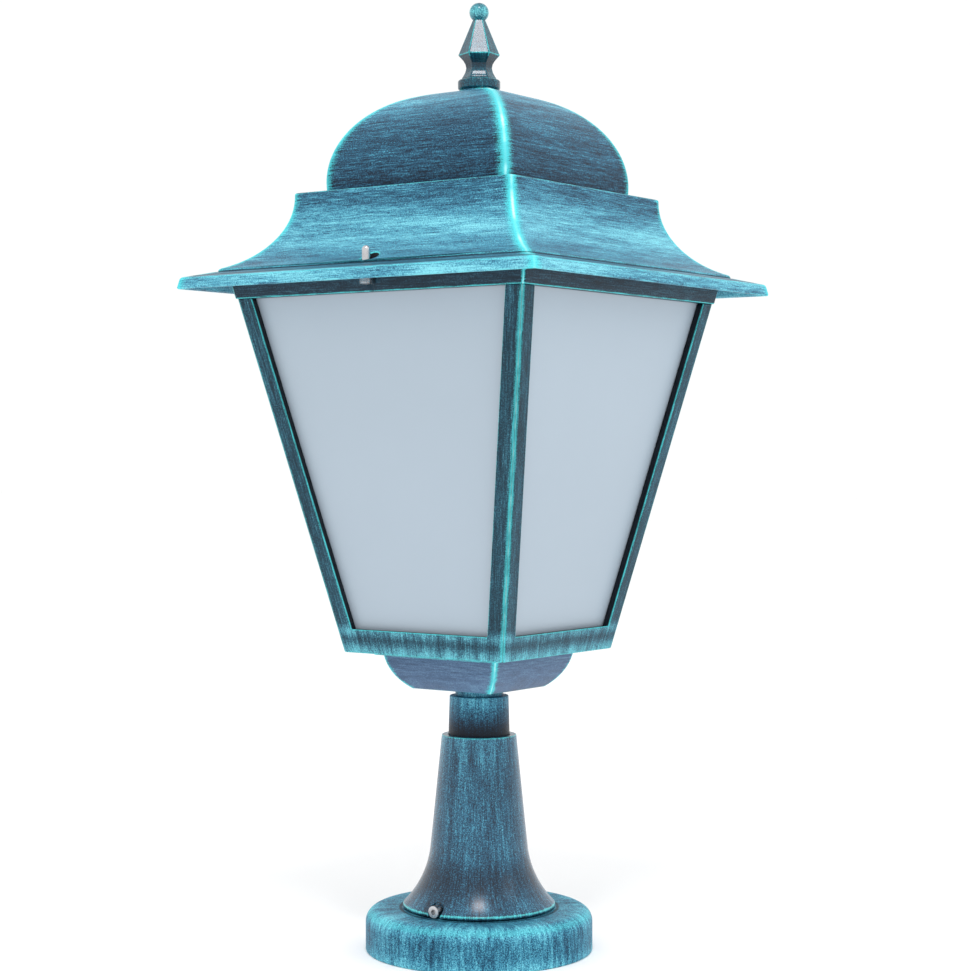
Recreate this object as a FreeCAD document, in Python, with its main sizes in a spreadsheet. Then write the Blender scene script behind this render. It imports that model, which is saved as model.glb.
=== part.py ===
"""Pillar-top street lantern: a cast four-sided lantern on a short round post.

Millimetres, +Z up.  The origin is the centre of the base disc's underside, on the ground.
The side with the visible roof screw is the front and faces -Y.
"""
import FreeCAD, Part
import math
import os
import re
import Sketcher

os.makedirs("parts", exist_ok=True)
doc = FreeCAD.newDocument("street_lamp_post")

# ---------------------------------------------------------------- driving sizes
SIZES = {
    # clearances
    "running_fit": 0.06,            # radial play of a shaft or spigot that turns or slides
    "moving_gap": 0.3,              # air between pieces that move apart
    "fixed_gap": 0.2,               # air round a screw or tube in its hole
    # base disc, bolted to the ground
    "base_radius": 69.3,
    "base_height": 25.7,
    "base_edge_round": 8,
    "base_foot_bevel": 0.8,
    "base_wall": 5,
    "base_web": 7,
    "spigot_radius": 34,
    "spigot_rise": 10.3,
    "spigot_wall": 3.5,
    "spigot_groove_depth": 1,
    "ground_bolt_circle": 44,
    "ground_bolt_count": 3,
    "ground_bolt_hole_radius": 3.25,
    "ground_bolt_column_radius": 7,
    "cable_hole_radius": 10,
    # stem
    "stem_foot_gap": 1,
    "stem_rim_radius": 46.5,
    "stem_rim_edge": 1.7,
    "stem_flare_radius": 58,
    "stem_waist_radius": 29.9,
    "stem_waist_rise": 35.8,
    "stem_top_radius": 22.8,
    "stem_height": 105.8,
    "stem_wall": 4,
    "stem_shoulder_step": 3.44,
    "stem_socket_depth": 25.5,
    "stem_web": 4,
    # clamp screws of the stem
    "clamp_screw_rise": 4.3,
    "clamp_screw_radius": 2.5,
    "clamp_head_radius": 3.6,
    "clamp_head_height": 6,
    "clamp_notch_radius": 5,
    "clamp_seat_radius": 40.4,
    # neck tube and the collar on it
    "neck_low_radius": 18.7,
    "neck_high_radius": 18,
    "neck_rise": 23.8,
    "neck_wall": 3,
    "neck_end_plate": 4,
    "collar_radius": 14.5,
    "collar_height": 4.7,
    # hollow threaded tube and its nuts
    "tube_radius": 5,
    "tube_bore_radius": 3.8,
    "tube_tail": 9,
    "tube_head": 7.7,
    "tube_nut_radius": 9.8,
    "tube_nut_height": 4.5,
    "tube_washer_radius": 10.5,
    "tube_washer_height": 1.2,
    # bowl under the lantern
    "bowl_low_half": 29.3,
    "bowl_high_half": 42.3,
    "bowl_height": 20.8,
    "bowl_bulge_radius": 32.6,
    "bowl_flange_half": 46,
    "bowl_flange": 2,
    "bowl_wall": 3,
    "bowl_ridge_round": 3,
    "bowl_boss_offset": 33,
    "bowl_boss_radius": 5,
    # cage of four posts
    "cage_low_half": 59,
    "cage_top_half": 104.3,
    "cage_height": 212.6,
    "post_face": 12,
    "post_depth": 5,
    "post_core": 8.4,
    "post_round": 3,
    "sill_rise": 14.4,
    "cage_floor": 3,
    # opal panes
    "pane_thickness": 3,
    "pane_play": 0.3,
    # top rail
    "rail_proud": 0.9,
    "rail_height": 11,
    "rail_lip": 3,
    "rail_lip_reach": 16,
    "rail_screw_inset": 4.3,
    "ear_half_width": 8,
    "ear_margin": 6,
    # roof skirt and brim
    "brim_half": 130,
    "brim_drop": 5.6,
    "brim_edge_height": 6.7,
    "brim_edge_lean": 1.5,
    "brim_shelf_half": 113.5,
    "brim_shelf_rise": 3.8,
    "brim_corner_round": 2.5,
    "skirt_foot_step": 1.5,
    "skirt_foot_half": 113,
    "skirt_curve_radius": 47,
    "skirt_top_half": 80.5,
    "skirt_height": 46.4,
    "skirt_lip": 1.7,
    "roof_wall": 3,
    "roof_ridge_round": 4,
    "roof_plate_opening": 40,
    "roof_rib_half": 95,
    "roof_rib": 4,
    "roof_rib_lift": 2,
    "roof_gasket_inset": 0.5,
    # roof screws
    "roof_screw_offset": 110,
    "roof_hole_offset": 106.8,
    "roof_screw_radius": 2.5,
    "roof_screw_rise": 19,
    "roof_screw_head_radius": 4,
    "roof_screw_head_height": 3,
    "roof_screw_washer_radius": 4.6,
    "roof_screw_washer": 0.7,
    "roof_boss_radius": 9,
    "roof_boss_thread": 4.8,
    "roof_hole_radius": 5.2,
    # dome
    "dome_half": 66.6,
    "dome_shoulder_half": 29.8,
    "dome_shoulder_rise": 59,
    "dome_rise": 64,
    "dome_shoulder_radius": 55,
    "dome_crown_radius": 92,
    "dome_eye_radius": 9,
    "dome_shoulder_inset": 1,
    "dome_boss_inset": 8.1,
    "dome_boss_radius": 6,
    "dome_boss_height": 14,
    # finial
    "finial_seat_radius": 12.1,
    "finial_seat_rise": 0.7,
    "finial_seat": 7.4,
    "finial_collar_radius": 12.9,
    "finial_collar_height": 6,
    "finial_collar_bevel": 0.8,
    "finial_turn": 35.7,
    "finial_foot_radius": 10.6,
    "finial_foot_rise": 7.2,
    "finial_waist_radius": 7.9,
    "finial_waist_rise": 13.6,
    "finial_under_radius": 10.2,
    "finial_under_rise": 18.1,
    "finial_wide_radius": 12.85,
    "finial_wide_rise": 21.3,
    "finial_tip_radius": 3.9,
    "finial_tip_rise": 42.1,
    "finial_ball_radius": 5.9,
    "finial_ball_rise": 47.1,
    "finial_stud_radius": 3,
    "finial_stud_grip": 16,
    "finial_stud_tail": 12,
    "finial_nut_radius": 5.8,
    "finial_nut_height": 5,
    "finial_washer_radius": 7,
    "finial_washer_height": 1.2,
    # small screws
    "socket_share": 0.5,            # a socket's width and depth, as a share of its head's
    "small_screw_radius": 1.5,
    "small_head_radius": 2.9,
    "small_head_height": 2,
    "medium_screw_radius": 2,
    "medium_head_radius": 4,
    "medium_head_height": 2.8,
    "medium_screw_length": 10,
    "floor_screw_length": 6,
    # lampholder, its bridge and the terminal block
    "bridge_half_span": 18,
    "bridge_foot_half": 34,
    "bridge_height": 17,
    "bridge_width": 20,
    "bridge_sheet": 1.5,
    "bridge_screw_offset": 27,
    "holder_radius": 21,
    "holder_height": 44,
    "holder_floor": 8,
    "holder_screw_depth": 5.6,
    "holder_screw_offset": 10,
    "holder_shell_radius": 13.3,
    "holder_shell_wall": 0.6,
    "holder_shell_rise": 2,
    "holder_shell_height": 27,
    "holder_contact_radius": 4,
    "holder_contact_height": 3,
    "block_width": 12,
    "block_length": 28,
    "block_height": 14,
    "block_offset": 30,
    "block_pole_pitch": 9,
    "block_wire_rise": 4.7,
    "clamp_pocket_radius": 2.05,
    "clamp_pocket_depth": 3,
    "terminal_head_radius": 1.9,
    "earth_offset": 30,
    "clip_width": 10,
    "clip_sheet": 0.8,
    "clip_foot": 11,
    "clip_upright": 14,
    # screw-in bulb
    "bulb_cap_radius": 13,
    "bulb_cap_height": 24,
    "bulb_tip_radius": 5,
    "bulb_cap_foot_radius": 8,
    "bulb_tip_height": 2.8,
    "bulb_neck_height": 8,
    "bulb_neck_radius": 12.8,
    "bulb_body_height": 26,
    "bulb_radius": 30,
    "bulb_globe_rise": 17,
    "bulb_globe_wall": 1,
}

sheet = doc.addObject("Spreadsheet::Sheet", "sizes")
for row, (size_name, size_value) in enumerate(SIZES.items(), start=1):
    sheet.set(f"A{row}", str(size_value))
    sheet.setAlias(f"A{row}", size_name)
doc.recompute()

# ---------------------------------------------------------------- levels, as formulas
SPIGOT_TOP = "(base_height + spigot_rise)"
STEM_FOOT = "(base_height + stem_foot_gap)"
STEM_TOP = f"({STEM_FOOT} - stem_foot_gap + stem_height)"
SOCKET_FLOOR = f"({STEM_TOP} - stem_socket_depth)"
WEB_UNDERSIDE = f"({SOCKET_FLOOR} - stem_web)"
NECK_TOP = f"({STEM_TOP} + neck_rise)"
BOWL_BOTTOM = f"({NECK_TOP} + collar_height)"
BOWL_RIM = f"({BOWL_BOTTOM} + bowl_height)"
CAGE_BOTTOM = f"({BOWL_RIM} + bowl_flange)"
FLOOR_TOP = f"({CAGE_BOTTOM} + cage_floor)"
CAGE_TOP = f"({CAGE_BOTTOM} + cage_height)"
RAIL_TOP = f"({CAGE_TOP} + rail_height)"
LIP_UNDERSIDE = f"({RAIL_TOP} - rail_lip)"
BRIM_BOTTOM = f"({RAIL_TOP} - brim_drop)"
BRIM_EDGE_TOP = f"({BRIM_BOTTOM} + brim_edge_height)"
SHELF_TOP = f"({BRIM_EDGE_TOP} + brim_shelf_rise)"
SKIRT_FOOT = f"({SHELF_TOP} + skirt_foot_step)"
SKIRT_TOP = f"({SKIRT_FOOT} + skirt_height)"
DOME_TOP = f"({SKIRT_TOP} + dome_rise)"
SEAT_TOP = f"({DOME_TOP} + finial_seat_rise)"
SEAT_UNDERSIDE = f"({SEAT_TOP} - finial_seat)"
BRIDGE_TOP = f"({FLOOR_TOP} + bridge_height)"
CLAMP_LEVEL = "(base_height + clamp_screw_rise)"
CAP_BOTTOM = (f"({BRIDGE_TOP} + holder_floor + holder_contact_height + moving_gap"
              " + bulb_tip_height)")
GLOBE_FOOT = f"({CAP_BOTTOM} + bulb_cap_height + bulb_neck_height + bulb_body_height)"

X_AXIS = FreeCAD.Vector(1, 0, 0)
Z_AXIS = FreeCAD.Vector(0, 0, 1)
LEVEL = FreeCAD.Rotation()
HEAD_DOWN = FreeCAD.Rotation(X_AXIS, 180)
STAND_UP = FreeCAD.Rotation(X_AXIS, 90)
FOUR_SIDES = {"front": 0, "right": 90, "back": 180, "left": 270}
FOUR_CORNERS = ((1, 1), (-1, 1), (-1, -1), (1, -1))


# ---------------------------------------------------------------- drawing helpers
def bind(formula):
    """Point each size name in a formula at its cell of the sheet."""
    def to_cell(word):
        return "sizes." + word[0] if word[0] in SIZES else word[0]
    return re.sub(r"[a-z][a-z0-9_]*", to_cell, str(formula))


def value(formula):
    """Present value of a formula, for first guesses and for edge lists."""
    return float(sheet.evalExpression(bind(formula)))


def around(angle):
    """Turn about the lamp's own axis."""
    return FreeCAD.Rotation(Z_AXIS, angle)


def set_place(piece, place, turn=LEVEL):
    """Put a piece at a point given by three formulas."""
    piece.Placement = FreeCAD.Placement(FreeCAD.Vector(), turn)
    for axis, formula in zip("xyz", place):
        piece.setExpression("Placement.Base." + axis, bind(formula))
    return piece


def make(kind, name, place=(0, 0, 0), turn=LEVEL, **formulas):
    """One primitive whose sizes follow the sheet."""
    piece = doc.addObject(kind, name)
    for size, formula in formulas.items():
        piece.setExpression(size, bind(formula))
    return set_place(piece, place, turn)


def cylinder(name, radius, height, place=(0, 0, 0), turn=LEVEL):
    """Round rod or hole."""
    return make("Part::Cylinder", name, place, turn, Radius=radius, Height=height)


def hexagon(name, radius, height, place=(0, 0, 0), turn=LEVEL):
    """Six-sided bar; the radius goes to its corners."""
    piece = make("Part::Prism", name, place, turn, Circumradius=radius, Height=height)
    piece.Polygon = 6
    return piece


def block(name, low, high):
    """Box between two corners given as formulas."""
    spans = [f"({top}) - ({bottom})" for bottom, top in zip(low, high)]
    return make("Part::Box", name, low, Length=spans[0], Width=spans[1], Height=spans[2])


def sloped(name, low, high, x_span, y_span, angle=0):
    """Solid between two levels, with a rectangle at each that the spans give for its level."""
    piece = doc.addObject("Part::Wedge", name)
    spans = {"Ymin": low, "Ymax": high}
    for level, mark in ((low, ""), (high, "2")):
        spans[f"X{mark}min"], spans[f"X{mark}max"] = x_span(level)
        nearest, furthest = y_span(level)
        spans[f"Z{mark}min"] = f"-({furthest})"
        spans[f"Z{mark}max"] = f"-({nearest})"
    for size, formula in spans.items():
        piece.setExpression(size, bind(formula))
    piece.Placement = FreeCAD.Placement(FreeCAD.Vector(), around(angle) * STAND_UP)
    return piece


def cut(name, base, *tools):
    """The base with each tool taken away."""
    tool = tools[0] if len(tools) == 1 else fuse(name + "_tools", *tools)
    piece = doc.addObject("Part::Cut", name)
    piece.Base = base
    piece.Tool = tool
    return piece


def fuse(name, *pieces):
    """Pieces joined into one."""
    piece = doc.addObject("Part::MultiFuse", name)
    piece.Shapes = list(pieces)
    return piece


def common(name, *pieces):
    """What all the pieces share."""
    piece = doc.addObject("Part::MultiCommon", name)
    piece.Shapes = list(pieces)
    return piece


def gather(name, pieces):
    """Like pieces kept as separate solids in one node."""
    piece = doc.addObject("Part::Compound", name)
    piece.Links = list(pieces)
    return piece


def is_corner_ridge(edge):
    """True for an edge that runs up a corner of a square plan."""
    ends = [vertex.Point for vertex in edge.Vertexes]
    on_corner = all(abs(abs(end.x) - abs(end.y)) < 0.01 for end in ends)
    return len(ends) == 2 and on_corner and abs(ends[0].z - ends[1].z) > 0.5


def rounded(name, base, radius, wanted=is_corner_ridge):
    """The base with the wanted edges rounded."""
    doc.recompute()
    reach = value(radius)
    edges = enumerate(base.Shape.Edges, start=1)
    piece = doc.addObject("Part::Fillet", name)
    piece.Base = base
    piece.Edges = [(number, reach, reach) for number, edge in edges if wanted(edge)]
    return piece


def draw_arc(sketch, start, end, radius):
    """Arc from start to end; a positive radius keeps its centre on the left."""
    chord = end - start
    sagitta_leg = math.sqrt(max(radius ** 2 - (chord.Length / 2) ** 2, 0))
    left = FreeCAD.Vector(-chord.y, chord.x, 0).normalize()
    side = 1 if radius > 0 else -1
    centre = (start + end) * 0.5 + left * sagitta_leg * side
    first, last = (start, end) if radius > 0 else (end, start)
    angles = [math.atan2(point.y - centre.y, point.x - centre.x) for point in (first, last)]
    circle = Part.Circle(centre, Z_AXIS, abs(radius))
    return sketch.addGeometry(Part.ArcOfCircle(circle, *angles), False)


def draw(sketch, corners, bends=None):
    """Closed outline through corners given by formulas; bends gives the radius of the arc
    that leaves a corner, by the corner's number."""
    bends = bends or {}
    points = [FreeCAD.Vector(value(x), value(y), 0) for x, y in corners]
    ends = []
    for number, start in enumerate(points):
        end = points[(number + 1) % len(points)]
        if number in bends:
            radius = value(bends[number])
            side = draw_arc(sketch, start, end, radius)
            ends.append((side, 1, 2) if radius > 0 else (side, 2, 1))
            rule = Sketcher.Constraint("Radius", side, abs(radius))
            mark = sketch.addConstraint(rule)
            sketch.setExpression(f"Constraints[{mark}]", f"abs({bind(bends[number])})")
        else:
            side = sketch.addGeometry(Part.LineSegment(start, end), False)
            ends.append((side, 1, 2))
    for number, (side, first, last) in enumerate(ends):
        after, after_first, after_last = ends[(number + 1) % len(ends)]
        sketch.addConstraint(Sketcher.Constraint("Coincident", side, last, after, after_first))
        pin_corner(sketch, side, first, points[number], corners[number])


def pin_corner(sketch, side, end, point, corner):
    """Hold one corner of an outline at its two formulas."""
    rules = (("DistanceX", point.x, corner[0], -2), ("DistanceY", point.y, corner[1], -1))
    for rule, distance, formula, axis in rules:
        if str(formula) == "0":
            sketch.addConstraint(Sketcher.Constraint("PointOnObject", side, end, axis))
            continue
        mark = sketch.addConstraint(Sketcher.Constraint(rule, -1, 1, side, end, distance))
        sketch.setExpression(f"Constraints[{mark}]", bind(formula))


def body_sketch(name, plane, corners, bends):
    """A body with one outline on one of its own origin planes."""
    body = doc.addObject("PartDesign::Body", name)
    sketch = body.newObject("Sketcher::SketchObject", name + "_outline")
    planes = [part for part in body.Origin.OriginFeatures if part.Role == plane]
    sketch.AttachmentSupport = (planes[0], [""])
    sketch.MapMode = "FlatFace"
    draw(sketch, corners, bends)
    return body, sketch


def turned(name, corners, bends=None):
    """Body of revolution; the outline gives radius and height."""
    body, sketch = body_sketch(name, "XZ_Plane", corners, bends)
    feature = body.newObject("PartDesign::Revolution", name + "_turned")
    feature.Profile = sketch
    feature.ReferenceAxis = (sketch, ["V_Axis"])
    feature.Angle = 360
    return body


def padded(name, plane, corners, width, bends=None):
    """Body padded evenly both ways from one of its planes."""
    body, sketch = body_sketch(name, plane, corners, bends)
    feature = body.newObject("PartDesign::Pad", name + "_pad")
    feature.Profile = sketch
    feature.SideType = "Symmetric"
    feature.setExpression("Length", bind(width))
    return body


def mirrored_outline(corners, bends):
    """Whole outline from its right half, listed upwards."""
    last = len(corners) - 1
    left = [(f"-({x})", y) for x, y in reversed(corners)]
    left_bends = {2 * last - number: radius for number, radius in bends.items()}
    return corners + left, {**bends, **left_bends}


def square_plan(name, corners, bends=None, width="2 * brim_half", crown=None):
    """Solid with a square plan at every level, whose side view is the outline on all four
    sides.  The right half of the outline is given; a crown arc may join its two halves."""
    outline, all_bends = mirrored_outline(corners, bends or {})
    if crown:
        all_bends[len(corners) - 1] = crown
    views = [padded(f"{name}_{plane[:2].lower()}", plane, outline, width, all_bends)
             for plane in ("XZ_Plane", "YZ_Plane")]
    return common(name, *views)


def screw(name, shank, head, head_height, length, place, turn=LEVEL):
    """Socket screw whose head seats on the given point; unturned, its shank points down."""
    head_piece = cylinder(name + "_head", head, head_height)
    shank_piece = cylinder(name + "_shank", shank, length, (0, 0, f"-({length})"))
    socket = hexagon(name + "_socket", f"({head}) * socket_share", head_height,
                     (0, 0, f"({head_height}) * socket_share"))
    solid = fuse(name + "_solid", head_piece, shank_piece)
    return set_place(cut(name, solid, socket), place, turn)


def cage_half(level, inset="0"):
    """Half width of the lantern's slope at a level, less an inset."""
    slope = "(cage_top_half - cage_low_half) / cage_height"
    return f"(cage_low_half + ({level} - {CAGE_BOTTOM}) * {slope} - ({inset}))"


def cage_span(inset="0"):
    """Symmetric span that follows the lantern's slope."""
    return lambda level: (f"-{cage_half(level, inset)}", cage_half(level, inset))


# ---------------------------------------------------------------- base disc
def make_base():
    """Cast ground plate: disc, raised spigot ring, bolt columns and cable hole."""
    inner = "(spigot_radius - spigot_wall)"
    groove_low = f"({CLAMP_LEVEL} - clamp_screw_radius - moving_gap)"
    groove_high = f"({CLAMP_LEVEL} + clamp_screw_radius + moving_gap)"
    groove = "(spigot_radius - spigot_groove_depth)"
    hollow = "(base_radius - base_wall)"
    underside = "(base_height - base_web)"
    outline = [
        ("cable_hole_radius", underside),
        (hollow, underside),
        (hollow, "0"),
        ("base_radius - base_foot_bevel", "0"),
        ("base_radius", "base_foot_bevel"),
        ("base_radius", "base_height - base_edge_round"),
        ("base_radius - base_edge_round", "base_height"),
        ("spigot_radius", "base_height"),
        ("spigot_radius", groove_low),
        (groove, groove_low),
        (groove, groove_high),
        ("spigot_radius", groove_high),
        ("spigot_radius", SPIGOT_TOP),
        (inner, SPIGOT_TOP),
        (inner, "base_height"),
        ("cable_hole_radius", "base_height"),
    ]
    disc = turned("base_disc_turned", outline, {5: "base_edge_round"})
    columns, holes = [], []
    for number in range(int(value("ground_bolt_count"))):
        angle = f"(90 + 360 * {number} / ground_bolt_count)"
        place = [f"ground_bolt_circle / 2 * cos({angle} * 1deg)",
                 f"ground_bolt_circle / 2 * sin({angle} * 1deg)", "0"]
        columns.append(cylinder(f"bolt_column_{number}", "ground_bolt_column_radius",
                                "base_height - base_web / 2", place))
        holes.append(cylinder(f"bolt_hole_{number}", "ground_bolt_hole_radius",
                              "base_height", place))
    return cut("base_disc", fuse("base_disc_solid", disc, *columns), *holes)


# ---------------------------------------------------------------- stem and its clamp screws
def make_stem():
    """Cast stem: flared foot over the spigot, socket for the neck at the top."""
    foot = [("stem_rim_radius", STEM_FOOT),
            ("stem_rim_radius", f"{STEM_FOOT} + stem_rim_edge"),
            ("stem_waist_radius", "base_height + stem_waist_rise"),
            ("stem_top_radius", STEM_TOP)]
    socket = "(neck_low_radius + fixed_gap)"
    web_hole = "(tube_radius + fixed_gap)"
    register = "(spigot_radius + running_fit)"
    shoulder = f"({SPIGOT_TOP} + moving_gap)"
    under_web = "(stem_top_radius - stem_wall)"
    inside = [(socket, STEM_TOP),
              (socket, SOCKET_FLOOR),
              (web_hole, SOCKET_FLOOR),
              (web_hole, WEB_UNDERSIDE),
              (under_web, WEB_UNDERSIDE),
              ("stem_waist_radius - stem_wall", "base_height + stem_waist_rise"),
              ("spigot_radius - stem_shoulder_step", shoulder),
              (register, shoulder),
              (register, STEM_FOOT)]
    solid = turned("stem_turned", foot + inside, {1: "-stem_flare_radius"})
    tools = []
    for side, angle in (("front", 0), ("back", 180)):
        turn = around(angle) * STAND_UP
        seat_y = "-clamp_seat_radius" if side == "front" else "clamp_seat_radius"
        tools.append(cylinder(f"clamp_notch_{side}", "clamp_notch_radius", "stem_rim_radius",
                              (0, seat_y, CLAMP_LEVEL), turn))
        tools.append(cylinder(f"clamp_thread_{side}", "clamp_screw_radius + running_fit",
                              "stem_rim_radius", (0, 0, CLAMP_LEVEL), turn))
    return cut("stem", solid, *tools)


def make_clamp_screw(side, angle):
    """Radial screw through the stem's foot; its tip sits in the spigot's groove."""
    tip = "(spigot_radius - spigot_groove_depth + moving_gap)"
    seat = "(clamp_seat_radius + moving_gap)"
    place = (0, f"-{seat}" if side == "front" else seat, CLAMP_LEVEL)
    return screw(f"stem_screw_{side}", "clamp_screw_radius", "clamp_head_radius",
                 "clamp_head_height", f"{seat} - {tip}", place, around(angle) * STAND_UP)


# ---------------------------------------------------------------- neck, collar and tie tube
def make_neck():
    """Neck tube: plain below the stem's rim, tapered above, closed by a plate at the top."""
    bore = "(neck_high_radius - neck_wall)"
    hole = "(tube_radius + fixed_gap)"
    return turned("neck_tube", [
        ("neck_low_radius", SOCKET_FLOOR),
        ("neck_low_radius", STEM_TOP),
        ("neck_high_radius", NECK_TOP),
        (hole, NECK_TOP),
        (hole, f"{NECK_TOP} - neck_end_plate"),
        (bore, f"{NECK_TOP} - neck_end_plate"),
        (bore, SOCKET_FLOOR)])


def ring(name, outer, inner, low, high):
    """Flat or tall round ring."""
    return turned(name, [(outer, low), (outer, high), (inner, high), (inner, low)])


def nut(name, radius, hole, height, level):
    """Six-sided nut standing on a level."""
    return cut(name, hexagon(name + "_blank", radius, height, (0, 0, level)),
               cylinder(name + "_hole", hole, height, (0, 0, level)))


def make_tie():
    """Hollow threaded tube that ties stem, neck, bowl and cage, with its nuts and washers."""
    bottom = f"({WEB_UNDERSIDE} - tube_tail)"
    top = f"({FLOOR_TOP} + tube_head)"
    hole = "(tube_radius + fixed_gap)"
    sleeve = "(tube_bore_radius - fixed_gap / 2)"
    washer_low = f"({WEB_UNDERSIDE} - tube_washer_height)"
    washer_high = f"({FLOOR_TOP} + tube_washer_height)"
    lip = "tube_washer_height"
    bushing = [(sleeve, f"{top} - tube_nut_height"),
               (sleeve, top),
               ("tube_radius + bridge_sheet / 2", top),
               ("tube_radius + bridge_sheet / 2", f"{top} + {lip}"),
               (f"{sleeve} - clip_sheet", f"{top} + {lip}"),
               (f"{sleeve} - clip_sheet", f"{top} - tube_nut_height")]
    return [
        ring("neck_collar", "collar_radius", hole, NECK_TOP, BOWL_BOTTOM),
        ring("threaded_tube", "tube_radius", "tube_bore_radius", bottom, top),
        ring("lower_washer", "tube_washer_radius", hole, washer_low, WEB_UNDERSIDE),
        nut("lower_lock_nut", "tube_nut_radius", "tube_radius", "tube_nut_height",
            f"{washer_low} - tube_nut_height"),
        ring("upper_washer", "tube_washer_radius", hole, FLOOR_TOP, washer_high),
        nut("upper_lock_nut", "tube_nut_radius", "tube_radius", "tube_nut_height", washer_high),
        turned("cable_bushing", bushing),
    ]


# ---------------------------------------------------------------- bowl
def make_bowl():
    """Cast bowl with a square plan, a thin flange on top and four screw bosses inside."""
    outer = square_plan("bowl_outer", [("bowl_low_half", BOWL_BOTTOM),
                                       ("bowl_high_half", BOWL_RIM)],
                        {0: "bowl_bulge_radius"}, "2 * bowl_flange_half")
    soft = rounded("bowl_soft", outer, "bowl_ridge_round")
    hollow = square_plan("bowl_hollow", [
        ("bowl_low_half - bowl_wall / 2", f"{BOWL_BOTTOM} + bowl_wall"),
        ("bowl_high_half - bowl_wall", BOWL_RIM),
        ("bowl_high_half - bowl_wall", CAGE_BOTTOM)],
        {0: "bowl_bulge_radius - bowl_wall"}, "2 * bowl_flange_half")
    flange = block("bowl_flange_plate", ("-bowl_flange_half", "-bowl_flange_half", BOWL_RIM),
                   ("bowl_flange_half", "bowl_flange_half", CAGE_BOTTOM))
    envelope = fuse("bowl_envelope", soft, flange)
    bosses, holes = [], [cylinder("bowl_tube_hole", "tube_radius + fixed_gap", "bowl_height",
                                  (0, 0, BOWL_BOTTOM))]
    for number, (east, north) in enumerate(FOUR_CORNERS):
        place = (f"{east} * bowl_boss_offset", f"{north} * bowl_boss_offset", BOWL_BOTTOM)
        bosses.append(cylinder(f"bowl_boss_{number}", "bowl_boss_radius",
                               "bowl_height + bowl_flange", place))
        holes.append(cylinder(f"bowl_boss_hole_{number}", "medium_screw_radius",
                              "medium_screw_length", place[:2] + (
                                  f"{FLOOR_TOP} - medium_screw_length",)))
    shell = cut("bowl_shell", envelope, hollow)
    inside = common("bowl_bosses", fuse("bowl_boss_set", *bosses), envelope)
    return cut("bottom_bowl", fuse("bowl_solid", shell, inside), *holes)


# ---------------------------------------------------------------- cage, panes, rail
def pane_room(name, low, high):
    """Room behind the posts' faces: a cross in plan, so that a core stays at each corner."""
    wide = sloped(name + "_wide", low, high, cage_span("post_core"), cage_span("post_depth"))
    deep = sloped(name + "_deep", low, high, cage_span("post_depth"), cage_span("post_core"))
    return fuse(name, wide, deep)


def make_cage():
    """Cast cage: floor, sill all round and four leaning corner posts, open at the top."""
    blank = sloped("cage_blank", CAGE_BOTTOM, CAGE_TOP, cage_span(), cage_span())
    soft = rounded("cage_soft", blank, "post_round")
    sill = f"({CAGE_BOTTOM} + sill_rise)"
    through = cage_span("-post_face")
    windows = [sloped("window_front_back", sill, CAGE_TOP, cage_span("post_face"), through),
               sloped("window_left_right", sill, CAGE_TOP, through, cage_span("post_face"))]
    floor_holes = [cylinder("cage_tube_hole", "tube_radius + fixed_gap", "cage_floor",
                            (0, 0, CAGE_BOTTOM))]
    spots = [(f"{east} * bowl_boss_offset", f"{north} * bowl_boss_offset",
              "medium_screw_radius") for east, north in FOUR_CORNERS]
    spots += [(0, f"{side} * bridge_screw_offset", "medium_screw_radius") for side in (1, -1)]
    spots += [("-earth_offset", 0, "medium_screw_radius"),
              ("block_offset", "block_pole_pitch / 2", "small_screw_radius")]
    spots += [(x, y, "small_screw_radius") for x, y in clip_screw_spots()]
    for number, (x, y, radius) in enumerate(spots):
        floor_holes.append(cylinder(f"floor_hole_{number}", radius, "cage_floor",
                                    (x, y, CAGE_BOTTOM)))
    corner_holes = [cylinder(f"post_hole_{number}", "small_screw_radius", "post_face / 2",
                             (x, y, f"{CAGE_TOP} - post_face / 2"))
                    for number, (x, y) in enumerate(rail_screw_spots())]
    return cut("lantern_cage", soft, pane_room("cage_room", FLOOR_TOP, CAGE_TOP), *windows,
               *floor_holes, *corner_holes)


def rail_screw_spots():
    """Places of the four screws that hold the rail on the posts."""
    inset = "(cage_top_half - rail_screw_inset)"
    return [(f"{east} * {inset}", f"{north} * {inset}") for east, north in FOUR_CORNERS]


def clip_screw_spots():
    """Places of the four screws that hold the pane clips on the floor."""
    reach = f"({clip_back()} - clip_foot / 2)"
    return [(0, f"-{reach}"), (reach, 0), (0, reach), (f"-{reach}", 0)]


def clip_back():
    """Distance of a clip's bend from the lamp's axis."""
    return cage_half(FLOOR_TOP, "post_depth + pane_thickness + pane_play")


def make_panes():
    """Four leaning opal panes, each behind its posts and its sill."""
    top = f"({LIP_UNDERSIDE} - pane_play)"
    low = f"({FLOOR_TOP} + pane_play)"

    def depth(level):
        return (f"-{cage_half(level, 'post_depth + pane_play / 2')}",
                f"-{cage_half(level, 'post_depth + pane_play / 2 + pane_thickness')}")

    return [sloped(f"pane_{side}", low, top, cage_span("post_core + pane_play"), depth, angle)
            for side, angle in FOUR_SIDES.items()]


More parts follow.
